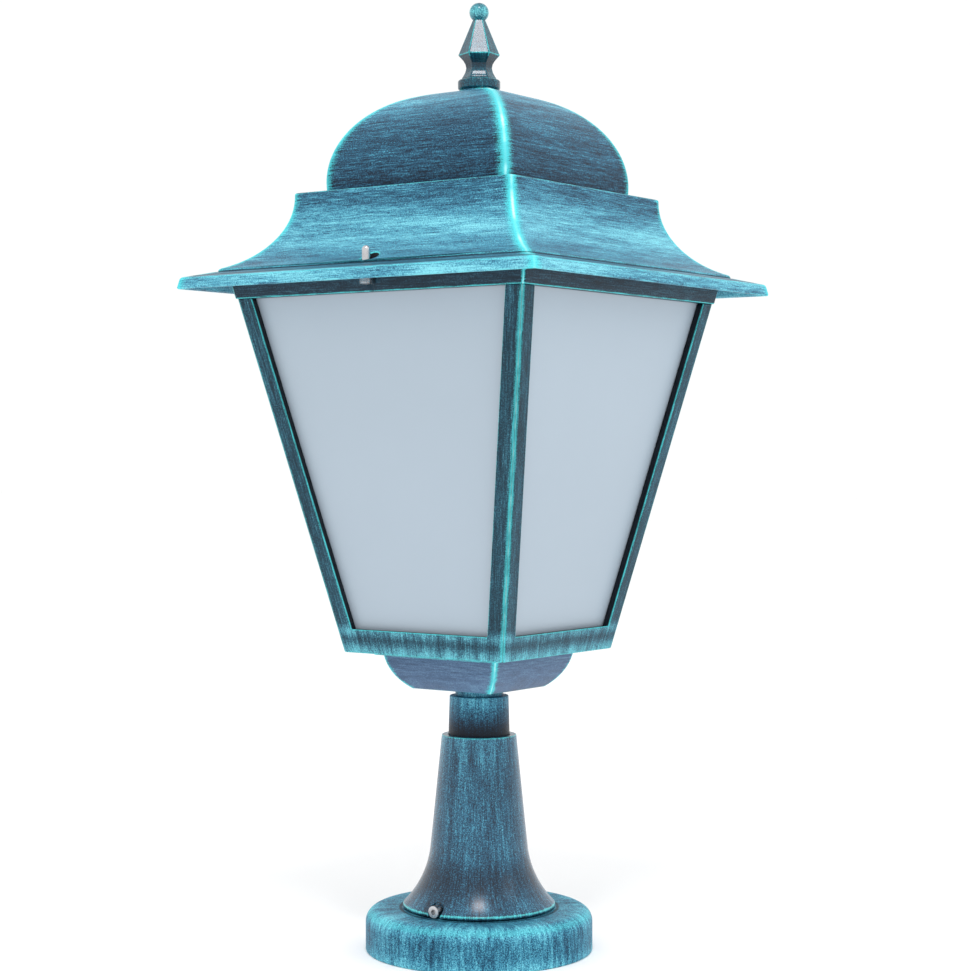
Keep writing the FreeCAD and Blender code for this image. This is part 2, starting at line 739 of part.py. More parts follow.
def make_clips():
    """Bent spring strips that press the panes' feet outwards, and their screws."""
    back = clip_back()
    lean = "(clip_upright * (cage_top_half - cage_low_half) / cage_height)"
    outline = [
        (f"-({back} - clip_foot)", FLOOR_TOP),
        (f"-{back}", FLOOR_TOP),
        (f"-({back} + {lean})", f"{FLOOR_TOP} + clip_upright"),
        (f"-({back} + {lean} - clip_sheet)", f"{FLOOR_TOP} + clip_upright"),
        (f"-({back} - clip_sheet)", f"{FLOOR_TOP} + clip_sheet"),
        (f"-({back} - clip_foot)", f"{FLOOR_TOP} + clip_sheet")]
    clips = []
    for number, (x, y) in enumerate(clip_screw_spots()):
        strip = padded(f"clip_strip_{number}", "YZ_Plane", outline, "clip_width")
        strip.Placement = FreeCAD.Placement(FreeCAD.Vector(), around(90 * number))
        hole = cylinder(f"clip_hole_{number}", "small_screw_radius", "clip_sheet",
                        (x, y, FLOOR_TOP))
        clips.append(cut(f"clip_{number}", strip, hole))
    screws = [screw(f"clip_screw_{number}", "small_screw_radius", "small_head_radius",
                    "small_head_height", "clip_sheet + cage_floor - fixed_gap",
                    (x, y, f"{FLOOR_TOP} + clip_sheet"))
              for number, (x, y) in enumerate(clip_screw_spots())]
    return [gather("pane_clips", clips), gather("pane_clip_screws", screws)]


def make_rail():
    """Top rail: a band round the heads of the posts, a lip over the panes, two roof ears."""
    blank = sloped("rail_blank", CAGE_TOP, RAIL_TOP, cage_span("-rail_proud"),
                   cage_span("-rail_proud"))
    soft = rounded("rail_soft", blank, "post_round")
    opening = "(cage_top_half - rail_lip_reach)"
    mouth = block("rail_mouth", (f"-{opening}", f"-{opening}", CAGE_TOP),
                  (opening, opening, RAIL_TOP))
    band = cut("rail_band", soft, pane_room("rail_room", CAGE_TOP, LIP_UNDERSIDE), mouth)
    tip = "(roof_screw_offset + ear_margin)"
    root = "(cage_top_half - post_depth / 2)"
    ears = [block(f"ear_{side}", ("-ear_half_width", low, LIP_UNDERSIDE),
                  ("ear_half_width", high, RAIL_TOP))
            for side, low, high in (("front", f"-{tip}", f"-{root}"), ("back", root, tip))]
    holes = []
    for side, sign in (("front", -1), ("back", 1)):
        offset = f"{sign} * roof_screw_offset"
        holes.append(cylinder(f"ear_hole_{side}", "roof_screw_radius + moving_gap", "rail_lip",
                              (0, offset, LIP_UNDERSIDE)))
        holes.append(cylinder(f"head_relief_{side}",
                              "roof_screw_washer_radius + 2 * moving_gap",
                              "rail_height - rail_lip", (0, offset, CAGE_TOP)))
    holes += [cylinder(f"rail_hole_{number}", "small_screw_radius", "rail_height",
                       (x, y, CAGE_TOP)) for number, (x, y) in enumerate(rail_screw_spots())]
    screws = [screw(f"rail_screw_{number}", "small_screw_radius", "small_head_radius",
                    "small_head_height", "rail_height + post_face / 2", (x, y, RAIL_TOP))
              for number, (x, y) in enumerate(rail_screw_spots())]
    return [cut("top_rail", fuse("rail_with_ears", band, *ears), *holes),
            gather("top_rail_screws", screws)]


# ---------------------------------------------------------------- lampholder and wiring parts
def make_lampholder():
    """Bridge, porcelain holder, screw shell and centre contact, with their screws."""
    span, foot, sheet_metal = "bridge_half_span", "bridge_foot_half", "bridge_sheet"
    strip = padded("bridge_strip", "YZ_Plane", mirrored_outline([
        (f"{span} - {sheet_metal}", f"{BRIDGE_TOP} - {sheet_metal}"),
        (f"{span} - {sheet_metal}", FLOOR_TOP),
        (foot, FLOOR_TOP),
        (foot, f"{FLOOR_TOP} + {sheet_metal}"),
        (span, f"{FLOOR_TOP} + {sheet_metal}"),
        (span, BRIDGE_TOP)], {})[0], "bridge_width")
    cable_hole = cylinder("bridge_cable_hole", "tube_radius", sheet_metal,
                          (0, 0, f"{BRIDGE_TOP} - {sheet_metal}"))
    holes, screws, holder_holes, holder_screws = [cable_hole], [], [], []
    for number, side in enumerate((-1, 1)):
        foot_y = f"{side} * bridge_screw_offset"
        head_y = f"{side} * holder_screw_offset"
        under = f"{BRIDGE_TOP} - {sheet_metal}"
        holes.append(cylinder(f"bridge_hole_{number}", "medium_screw_radius", sheet_metal,
                              (0, foot_y, FLOOR_TOP)))
        holes.append(cylinder(f"bridge_top_hole_{number}", "small_screw_radius", sheet_metal,
                              (0, head_y, under)))
        holder_holes.append(cylinder(f"holder_hole_{number}", "small_screw_radius",
                                     "holder_screw_depth", (0, head_y, BRIDGE_TOP)))
        screws.append(screw(f"bridge_screw_{number}", "medium_screw_radius",
                            "medium_head_radius", "medium_head_height", "floor_screw_length",
                            (0, foot_y, f"{FLOOR_TOP} + {sheet_metal}")))
        holder_screws.append(screw(f"holder_screw_{number}", "small_screw_radius",
                                   "small_head_radius", "small_head_height",
                                   f"{sheet_metal} + holder_screw_depth",
                                   (0, head_y, under), HEAD_DOWN))
    bore = "(holder_shell_radius + holder_shell_wall + fixed_gap)"
    well = f"({BRIDGE_TOP} + holder_floor)"
    top = f"({BRIDGE_TOP} + holder_height)"
    holder = turned("holder_turned", [
        ("0", BRIDGE_TOP), ("holder_radius", BRIDGE_TOP),
        ("holder_radius", f"{top} - holder_shell_rise"),
        ("holder_radius - holder_shell_rise", top),
        (bore, top), (bore, well), ("0", well)])
    shell_low = f"({well} + holder_shell_rise)"
    return [
        cut("lampholder_bridge", strip, *holes),
        gather("lampholder_bridge_screws", screws),
        cut("lampholder_body", holder, *holder_holes),
        gather("lampholder_screws", holder_screws),
        ring("lampholder_shell", "holder_shell_radius + holder_shell_wall",
             "holder_shell_radius", shell_low, f"{shell_low} + holder_shell_height"),
        cylinder("lampholder_contact", "holder_contact_radius", "holder_contact_height",
                 (0, 0, well)),
    ]


def make_terminals():
    """Three-pole terminal block with its clamp screws, its fixing screw and the earth screw."""
    body = block("block_body",
                 ("block_offset - block_width / 2", "-block_length / 2", FLOOR_TOP),
                 ("block_offset + block_width / 2", "block_length / 2",
                  f"{FLOOR_TOP} + block_height"))
    top = f"({FLOOR_TOP} + block_height)"
    pockets, clamps = [], []
    for pole in (-1, 0, 1):
        pole_y = f"{pole} * block_pole_pitch"
        pockets.append(cylinder(f"wire_hole_{pole + 1}", "small_screw_radius", "block_width",
                                ("block_offset - block_width / 2", pole_y,
                                 f"{FLOOR_TOP} + block_wire_rise"),
                                FreeCAD.Rotation(FreeCAD.Vector(0, 1, 0), 90)))
        for side in (-1, 1):
            spot = (f"block_offset + {side} * block_width / 4", pole_y,
                    f"{top} - clamp_pocket_depth")
            name = f"{pole + 1}_{(side + 1) // 2}"
            pockets.append(cylinder(f"clamp_pocket_{name}", "clamp_pocket_radius",
                                    "clamp_pocket_depth", spot))
            clamps.append(cylinder(f"terminal_clamp_{name}", "terminal_head_radius",
                                   "small_head_height", spot))
    fixing_spot = ("block_offset", "block_pole_pitch / 2")
    pockets.append(cylinder("block_fixing_hole", "small_screw_radius", "block_height",
                            fixing_spot + (FLOOR_TOP,)))
    fixing = screw("terminal_block_screw", "small_screw_radius", "terminal_head_radius",
                   "small_head_height", "block_height + cage_floor - fixed_gap",
                   fixing_spot + (top,))
    earth_seat = f"{FLOOR_TOP} + tube_washer_height"
    return [
        cut("terminal_block", body, *pockets),
        gather("terminal_clamp_screws", clamps),
        fixing,
        ring_at("earth_washer", "medium_head_radius + bridge_sheet / 2", "medium_screw_radius",
                "tube_washer_height", ("-earth_offset", 0, FLOOR_TOP)),
        screw("earth_screw", "medium_screw_radius", "medium_head_radius",
              "medium_head_height", "tube_washer_height + floor_screw_length",
              ("-earth_offset", 0, earth_seat)),
    ]


def ring_at(name, outer, inner, height, place):
    """Flat round washer anywhere."""
    return cut(name, cylinder(name + "_disc", outer, height, place),
               cylinder(name + "_hole", inner, height, place))


def make_bulb():
    """Screw-in bulb: metal cap, plastic body and opal globe."""
    cap_top = f"({CAP_BOTTOM} + bulb_cap_height)"
    neck_top = f"({cap_top} + bulb_neck_height)"
    globe_centre = f"({GLOBE_FOOT} + bulb_globe_rise)"
    foot_half = "sqrt(bulb_radius ^ 2 - bulb_globe_rise ^ 2)"
    wall = "bulb_globe_wall"
    inner_foot = f"sqrt((bulb_radius - {wall}) ^ 2 - bulb_globe_rise ^ 2)"
    cap = turned("bulb_cap", [
        ("0", f"{CAP_BOTTOM} - bulb_tip_height"),
        ("bulb_tip_radius", f"{CAP_BOTTOM} - bulb_tip_height"),
        ("bulb_cap_foot_radius", CAP_BOTTOM),
        ("bulb_cap_radius", f"{CAP_BOTTOM} + bulb_tip_height"),
        ("bulb_cap_radius", cap_top),
        ("0", cap_top)])
    housing = turned("bulb_housing", [
        ("0", cap_top), ("bulb_neck_radius", cap_top), ("bulb_neck_radius", neck_top),
        (foot_half, GLOBE_FOOT), ("0", GLOBE_FOOT)])
    crown = f"({globe_centre} + bulb_radius)"
    globe = turned("bulb_globe", [
        (inner_foot, GLOBE_FOOT), (foot_half, GLOBE_FOOT),
        ("bulb_radius", globe_centre), ("0", crown), ("0", f"{crown} - {wall}"),
        (f"bulb_radius - {wall}", globe_centre)],
        {1: "bulb_radius", 2: "bulb_radius", 4: f"-(bulb_radius - {wall})",
         5: f"-(bulb_radius - {wall})"})
    return [cap, housing, globe]


# ---------------------------------------------------------------- roof
def make_roof():
    """Roof skirt with its brim, seat rib, screw bosses and top plate."""
    brim = rounded("brim_soft", square_plan("brim_outer", [
        ("brim_half", BRIM_BOTTOM),
        ("brim_half - brim_edge_lean", BRIM_EDGE_TOP),
        ("brim_shelf_half", SHELF_TOP)]), "brim_corner_round",
        lambda edge: is_corner_ridge(edge) and edge.BoundBox.ZMin < value(BRIM_BOTTOM) + 0.5)
    skirt_curve_top = f"({SKIRT_TOP} - skirt_lip)"
    skirt = rounded("skirt_soft", square_plan("skirt_outer", [
        ("skirt_foot_half", SHELF_TOP),
        ("skirt_foot_half", SKIRT_FOOT),
        ("skirt_top_half", skirt_curve_top),
        ("skirt_top_half", SKIRT_TOP)], {1: "-skirt_curve_radius"}), "roof_ridge_round",
        lambda edge: is_corner_ridge(edge) and edge.Vertexes[0].Point.z > value(SHELF_TOP))
    envelope = fuse("roof_envelope", brim, skirt)
    wall = "roof_wall"
    hollow = square_plan("roof_hollow", [
        (f"brim_half - {wall}", f"{BRIM_BOTTOM}"),
        (f"brim_half - brim_edge_lean - {wall}", f"{BRIM_EDGE_TOP} - {wall}"),
        ("brim_shelf_half", f"{SHELF_TOP} - {wall}"),
        ("skirt_foot_half", f"{SKIRT_FOOT} - {wall} - fixed_gap"),
        (f"skirt_top_half - {wall}", f"{SKIRT_TOP} - {wall}")],
        {3: f"-(skirt_curve_radius + {wall})"})
    shell = cut("roof_shell", envelope, hollow)
    rib_low = f"({RAIL_TOP} + roof_rib_lift)"
    rib_block = block("rib_block", ("-roof_rib_half", "-roof_rib_half", rib_low),
                      ("roof_rib_half", "roof_rib_half", f"{SKIRT_FOOT} + skirt_height / 2"))
    rib_inner = "(roof_rib_half - roof_rib)"
    rib_void = block("rib_void", (f"-{rib_inner}", f"-{rib_inner}", rib_low),
                     (rib_inner, rib_inner, f"{SKIRT_TOP}"))
    boss_low = f"({RAIL_TOP} + moving_gap)"
    bosses, holes = [], []
    for side, sign in (("front", -1), ("back", 1)):
        at_screw = (0, f"{sign} * roof_screw_offset", boss_low)
        bosses.append(cylinder(f"roof_boss_{side}", "roof_boss_radius", "skirt_height",
                               at_screw))
        holes.append(cylinder(f"roof_thread_{side}", "roof_screw_radius + running_fit",
                              "skirt_height", at_screw))
        holes.append(cylinder(f"roof_well_{side}", "roof_hole_radius", "skirt_height",
                              (0, f"{sign} * roof_hole_offset",
                               f"{boss_low} + roof_boss_thread")))
    inside = common("roof_inside", fuse("roof_inside_set", cut("rib_ring", rib_block, rib_void),
                                        *bosses), envelope)
    plate = "roof_plate_opening"
    holes.append(block("roof_plate_hole", (f"-{plate}", f"-{plate}", f"{SKIRT_TOP} - {wall} * 2"),
                       (plate, plate, SKIRT_TOP)))
    for number, (x, y) in enumerate(dome_screw_spots()):
        holes.append(cylinder(f"plate_hole_{number}", "medium_screw_radius", wall,
                              (x, y, f"{SKIRT_TOP} - {wall}")))
    gasket_outer = "(roof_rib_half - roof_gasket_inset)"
    gasket_inner = "(roof_rib_half - roof_rib + roof_gasket_inset)"
    gasket_low = f"({RAIL_TOP} + moving_gap)"
    gasket = cut("roof_gasket",
                 block("gasket_block", (f"-{gasket_outer}", f"-{gasket_outer}", gasket_low),
                       (gasket_outer, gasket_outer, rib_low)),
                 block("gasket_void", (f"-{gasket_inner}", f"-{gasket_inner}", gasket_low),
                       (gasket_inner, gasket_inner, rib_low)))
    return [cut("roof_skirt", fuse("roof_solid", shell, inside), *holes), gasket]


def dome_screw_spots():
    """Places of the four screws between the roof plate and the dome."""
    inset = "(dome_half - dome_boss_inset)"
    return [(f"{east} * {inset}", f"{north} * {inset}") for east, north in FOUR_CORNERS]


def make_dome():
    """Four-sided dome with rounded ridges, a round seat on top and four screw bosses."""
    shoulder = f"({SKIRT_TOP} + dome_shoulder_rise)"
    outer = square_plan("dome_outer", [
        ("dome_half", SKIRT_TOP), ("dome_shoulder_half", shoulder)],
        {0: "dome_shoulder_radius"}, "2 * brim_half", "dome_crown_radius")
    open_top = cut("dome_open", outer, cylinder("dome_eye", "dome_eye_radius",
                                                "dome_rise + finial_seat", (0, 0, SKIRT_TOP)))
    soft = rounded("dome_soft", open_top, "roof_ridge_round")
    wall = "roof_wall"
    hollow = square_plan("dome_hollow", [
        (f"dome_half - {wall}", SKIRT_TOP),
        ("dome_shoulder_half - dome_shoulder_inset", f"{shoulder} - {wall}")],
        {0: f"dome_shoulder_radius - {wall}"}, "2 * brim_half", f"dome_crown_radius - {wall}")
    seat = cylinder("dome_seat", "finial_seat_radius", "finial_seat", (0, 0, SEAT_UNDERSIDE))
    bosses, holes = [], [cylinder("dome_stud_hole", "finial_stud_radius + fixed_gap",
                                  "finial_seat", (0, 0, SEAT_UNDERSIDE))]
    screws = []
    for number, (x, y) in enumerate(dome_screw_spots()):
        bosses.append(cylinder(f"dome_boss_{number}", "dome_boss_radius", "dome_boss_height",
                               (x, y, SKIRT_TOP)))
        holes.append(cylinder(f"dome_boss_hole_{number}", "medium_screw_radius",
                              "medium_screw_length", (x, y, SKIRT_TOP)))
        screws.append(screw(f"dome_screw_{number}", "medium_screw_radius",
                            "medium_head_radius", "medium_head_height",
                            f"medium_screw_length + {wall}",
                            (x, y, f"{SKIRT_TOP} - {wall}"), HEAD_DOWN))
    inside = common("dome_bosses", fuse("dome_boss_set", *bosses), soft)
    solid = fuse("dome_solid", cut("dome_shell", soft, hollow), inside, seat)
    return [cut("roof_dome", solid, *holes), gather("dome_screws", screws)]


# ---------------------------------------------------------------- finial
def make_finial():
    """Six-sided finial on a round collar, with a ball on top, and its stud, nut and washer."""
    levels = ("foot", "waist", "under", "wide", "tip")
    sections = []
    for level in levels:
        section = make("Part::RegularPolygon", f"finial_{level}",
                       (0, 0, f"{SEAT_TOP} + finial_{level}_rise"),
                       around(value("finial_turn")), Circumradius=f"finial_{level}_radius")
        section.Polygon = 6
        sections.append(section)
    sections.insert(0, make("Part::RegularPolygon", "finial_root",
                            (0, 0, f"{SEAT_TOP} + finial_collar_height / 2"),
                            around(value("finial_turn")), Circumradius="finial_foot_radius"))
    sections[0].Polygon = 6
    spear = doc.addObject("Part::Loft", "finial_spear")
    spear.Sections = sections
    spear.Solid = True
    spear.Ruled = True
    bevel = "finial_collar_bevel"
    collar_top = f"({SEAT_TOP} + finial_collar_height)"
    collar = turned("finial_collar", [
        ("0", SEAT_TOP), (f"finial_collar_radius - {bevel}", SEAT_TOP),
        ("finial_collar_radius", f"{SEAT_TOP} + {bevel}"),
        ("finial_collar_radius", f"{collar_top} - {bevel}"),
        (f"finial_collar_radius - {bevel}", collar_top), ("0", collar_top)])
    ball = make("Part::Sphere", "finial_ball", (0, 0, f"{SEAT_TOP} + finial_ball_rise"),
                Radius="finial_ball_radius")
    bore = cylinder("finial_bore", "finial_stud_radius", "finial_stud_grip", (0, 0, SEAT_TOP))
    washer_low = f"({SEAT_UNDERSIDE} - finial_washer_height)"
    return [
        cut("finial", fuse("finial_solid", collar, spear, ball), bore),
        cylinder("finial_stud", "finial_stud_radius",
                 "finial_stud_tail + finial_seat + finial_stud_grip",
                 (0, 0, f"{SEAT_UNDERSIDE} - finial_stud_tail")),
        ring("finial_washer", "finial_washer_radius", "finial_stud_radius + fixed_gap",
             washer_low, SEAT_UNDERSIDE),
        nut("finial_nut", "finial_nut_radius", "finial_stud_radius", "finial_nut_height",
            f"{washer_low} - finial_nut_height"),
    ]


# ---------------------------------------------------------------- roof screws
def make_roof_screw(side, sign):
    """Vertical screw from below through an ear into the roof boss, and its washer."""
    seat = f"({LIP_UNDERSIDE} - moving_gap - roof_screw_washer)"
    offset = f"{sign} * roof_screw_offset"
    body = screw(f"roof_screw_{side}_blank", "roof_screw_radius", "roof_screw_head_radius",
                 "roof_screw_head_height", "roof_screw_rise - roof_screw_radius",
                 (0, offset, seat), HEAD_DOWN)
    end = make("Part::Sphere", f"roof_screw_{side}_end",
               (0, offset, f"{seat} + roof_screw_rise - roof_screw_radius"),
               Radius="roof_screw_radius")
    washer = ring_at(f"roof_screw_washer_{side}", "roof_screw_washer_radius",
                     "roof_screw_radius", "roof_screw_washer", (0, offset, seat))
    return [fuse(f"roof_screw_{side}", body, end), washer]


# ---------------------------------------------------------------- assemble
nodes = [make_base(), make_stem(), make_neck()]
nodes += [make_clamp_screw("front", 0), make_clamp_screw("back", 180)]
nodes += make_tie()
nodes += [make_bowl(), make_cage()]
nodes += make_panes() + make_clips() + make_rail()
bowl_screws = [screw(f"bowl_screw_{number}", "medium_screw_radius", "medium_head_radius",
                     "medium_head_height", "medium_screw_length",
                     (f"{east} * bowl_boss_offset", f"{north} * bowl_boss_offset", FLOOR_TOP))
               for number, (east, north) in enumerate(FOUR_CORNERS)]
nodes += [gather("bowl_screws", bowl_screws)]
nodes += make_lampholder() + make_terminals() + make_bulb()
nodes += make_roof() + make_dome() + make_finial()
nodes += make_roof_screw("front", -1) + make_roof_screw("back", 1)

doc.recompute()
for item in doc.Objects:
    if "Invalid" in item.State or "Error" in item.State:
        raise RuntimeError(f"{item.Name} did not build: {item.State}")
for node in nodes:
    if node.Shape.isNull() or not node.Shape.isValid() or node.Shape.Volume <= 0:
        raise RuntimeError(f"{node.Name} has no sound shape")
for node in nodes:
    node.Label = node.Name
    node.Shape.exportStep(f"parts/{node.Label}.step")
    box = node.Shape.BoundBox
    print(f"{node.Label:26s} solids {len(node.Shape.Solids)}  {node.Shape.Volume:10.1f} mm3  "
          f"z {box.ZMin:.1f} to {box.ZMax:.1f}")
print(len(nodes), "nodes")
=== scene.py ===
"""Pillar-top street lantern: looks of every piece, set round the fixed frame.

Metres, +Z up.  The sections follow the lamp as it is put together, from the ground plate
to the screws of the roof, and end with the floor, the lights and the camera.
"""
import math
import bmesh
import bpy
import numpy as np
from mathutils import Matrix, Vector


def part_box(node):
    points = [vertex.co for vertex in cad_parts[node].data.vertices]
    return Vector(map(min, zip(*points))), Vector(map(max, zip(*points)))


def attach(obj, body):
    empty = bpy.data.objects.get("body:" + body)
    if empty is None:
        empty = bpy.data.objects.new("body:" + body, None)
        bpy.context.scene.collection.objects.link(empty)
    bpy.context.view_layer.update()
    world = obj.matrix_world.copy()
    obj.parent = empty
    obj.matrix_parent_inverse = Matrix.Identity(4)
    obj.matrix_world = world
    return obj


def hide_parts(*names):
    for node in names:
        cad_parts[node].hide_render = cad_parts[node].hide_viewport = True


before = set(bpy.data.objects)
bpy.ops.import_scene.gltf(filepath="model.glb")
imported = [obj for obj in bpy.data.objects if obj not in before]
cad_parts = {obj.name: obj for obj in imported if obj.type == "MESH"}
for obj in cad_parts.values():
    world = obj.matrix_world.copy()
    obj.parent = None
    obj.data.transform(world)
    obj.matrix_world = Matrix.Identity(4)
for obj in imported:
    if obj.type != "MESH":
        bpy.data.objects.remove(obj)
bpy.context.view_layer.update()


# ---------------------------------------------------------------- base disc
# Cast ground plate, enamelled dark slate with turquoise dry-brushed over it.  The strokes
# run down its side and in from its rounded edge, which is rubbed bright.
BASE_RADIUS = 0.0693
BASE_TOP = 0.0257
STEM_SEAT_RADIUS = 0.048


def tint(red, green, blue):
    """Shader colour of a 0 to 255 screen colour, with ((s + 0.055) / 1.055) ^ 2.4 for share s."""
    shares = (np.array([red, green, blue]) / 255 + 0.055) / 1.055
    return (*(shares ** 2.4), 1.0)


class Wiring:
    """Adds nodes to one material; a number, a colour or another node's output can feed each."""

    def __init__(self, name):
        self.material = bpy.data.materials.new(name)
        self.material.use_nodes = True
        self.tree = self.material.node_tree
        self.shader = self.tree.nodes["Principled BSDF"]
        self.place = self.tree.nodes.new("ShaderNodeTexCoord").outputs["Object"]
        self.x, self.y, self.z = self.put("ShaderNodeSeparateXYZ", {0: self.place}).outputs

    def put(self, kind, feeds, **settings):
        """One node with its settings made and its inputs fed."""
        node = self.tree.nodes.new(kind)
        for setting, choice in settings.items():
            setattr(node, setting, choice)
        for socket, feed in feeds.items():
            self.feed(node.inputs[socket], feed)
        return node

    def feed(self, socket, feed):
        """Joins an output to a socket, or sets the socket's own value."""
        if isinstance(feed, bpy.types.NodeSocket):
            self.tree.links.new(feed, socket)
        else:
            socket.default_value = feed

    def math(self, operation, *terms, clamp=False):
        """One sum on numbers or outputs."""
        feeds = dict(enumerate(terms))
        return self.put("ShaderNodeMath", feeds, operation=operation, use_clamp=clamp).outputs[0]

    def length(self, first, second):
        """Distance across two offsets at right angles: the root of the sum of their squares."""
        return self.math("SQRT", self.math("ADD", self.math("MULTIPLY", first, first),
                                           self.math("MULTIPLY", second, second)))

    def join(self, x, y, z):
        """A point from three numbers or outputs."""
        return self.put("ShaderNodeCombineXYZ", {0: x, 1: y, 2: z}).outputs[0]

    def noise(self, point, scale=1.0, detail=2.0, rough=0.55):
        """Cloud noise from 0 to 1 at a point."""
        feeds = {"Vector": point, "Scale": scale, "Detail": detail, "Roughness": rough}
        return self.put("ShaderNodeTexNoise", feeds).outputs[0]

    def fade(self, number, start, end):
        """Smooth rise from 0 at start to 1 at end."""
        feeds = {"Value": number, "From Min": start, "From Max": end}
        node = self.put("ShaderNodeMapRange", feeds, interpolation_type="SMOOTHSTEP")
        return node.outputs[0]

    def blend(self, share, first, second):
        """Colour from the first to the second as share goes from 0 to 1, by colour sockets."""
        feeds = {0: share, 6: first, 7: second}
        node = self.put("ShaderNodeMix", feeds, data_type="RGBA")
        return node.outputs[2]

    def bump(self, height, depth, under=None):
        """Surface normal raised by a height, depth in metres; under is a normal below it."""
        feeds = {"Height": height, "Distance": depth, "Strength": 1.0}
        if under is not None:
            feeds["Normal"] = under
        return self.put("ShaderNodeBump", feeds).outputs[0]

    def finish(self, **feeds):
        """Feeds the shader and gives the material; spaces in socket names are underscores."""
        for socket, feed in feeds.items():
            self.feed(self.shader.inputs[socket.replace("_", " ")], feed)
        return self.material


ENAMEL = [(0.00, (6, 18, 30)), (0.26, (18, 44, 64)), (0.50, (40, 92, 120)),
          (0.74, (76, 156, 182)), (1.00, (128, 214, 226))]
# Nearly black: the dark joints, and painted shade in holes, in reveals and round a part's foot.
DARK_JOINT_AND_SHADE = (8, 16, 26)
RUBBED_EDGE = (84, 218, 222)
# Corner band: rubbed cyan paint with a near-white painted highlight down its middle.
RIDGE_WEAR_AND_HIGHLIGHT = (78, 220, 226)
RIDGE_HIGHLIGHT_CORE = (200, 255, 255)

# Cells per metre along and across a stroke, for the fine, the broad and the patchy layer.
ROUND_STROKES = ((70.0, 1300.0), (26.0, 420.0), (12.0, 90.0))
SQUARE_STROKES = ((75.0, 1500.0), (24.0, 520.0), (11.0, 75.0))
SPECK_CELLS = 1500.0
PEEL_CELLS = 520.0
# How much the fine, the broad, the patchy and the speckled layer each add to the paint.
ROUND_WEIGHTS = (0.8, 0.3, 0.42, 1.45)
SQUARE_WEIGHTS = (1.1, 0.5, 0.42, 1.15)
MEAN_COVER = 0.42
# Strokes have their true width at this radius of a round piece, and 1 / SIDE_SPREAD metres
# from the middle of a leaning one; they widen and narrow with the piece.
STROKE_RADIUS = 0.03
SIDE_SPREAD = 11.0
# Depths of the brush marks and of the enamel's orange peel, and the width of a hole's wear.
BRUSH_DEPTH = 0.00014
PEEL_DEPTH = 0.00012
HOLE_WEAR = 0.0018


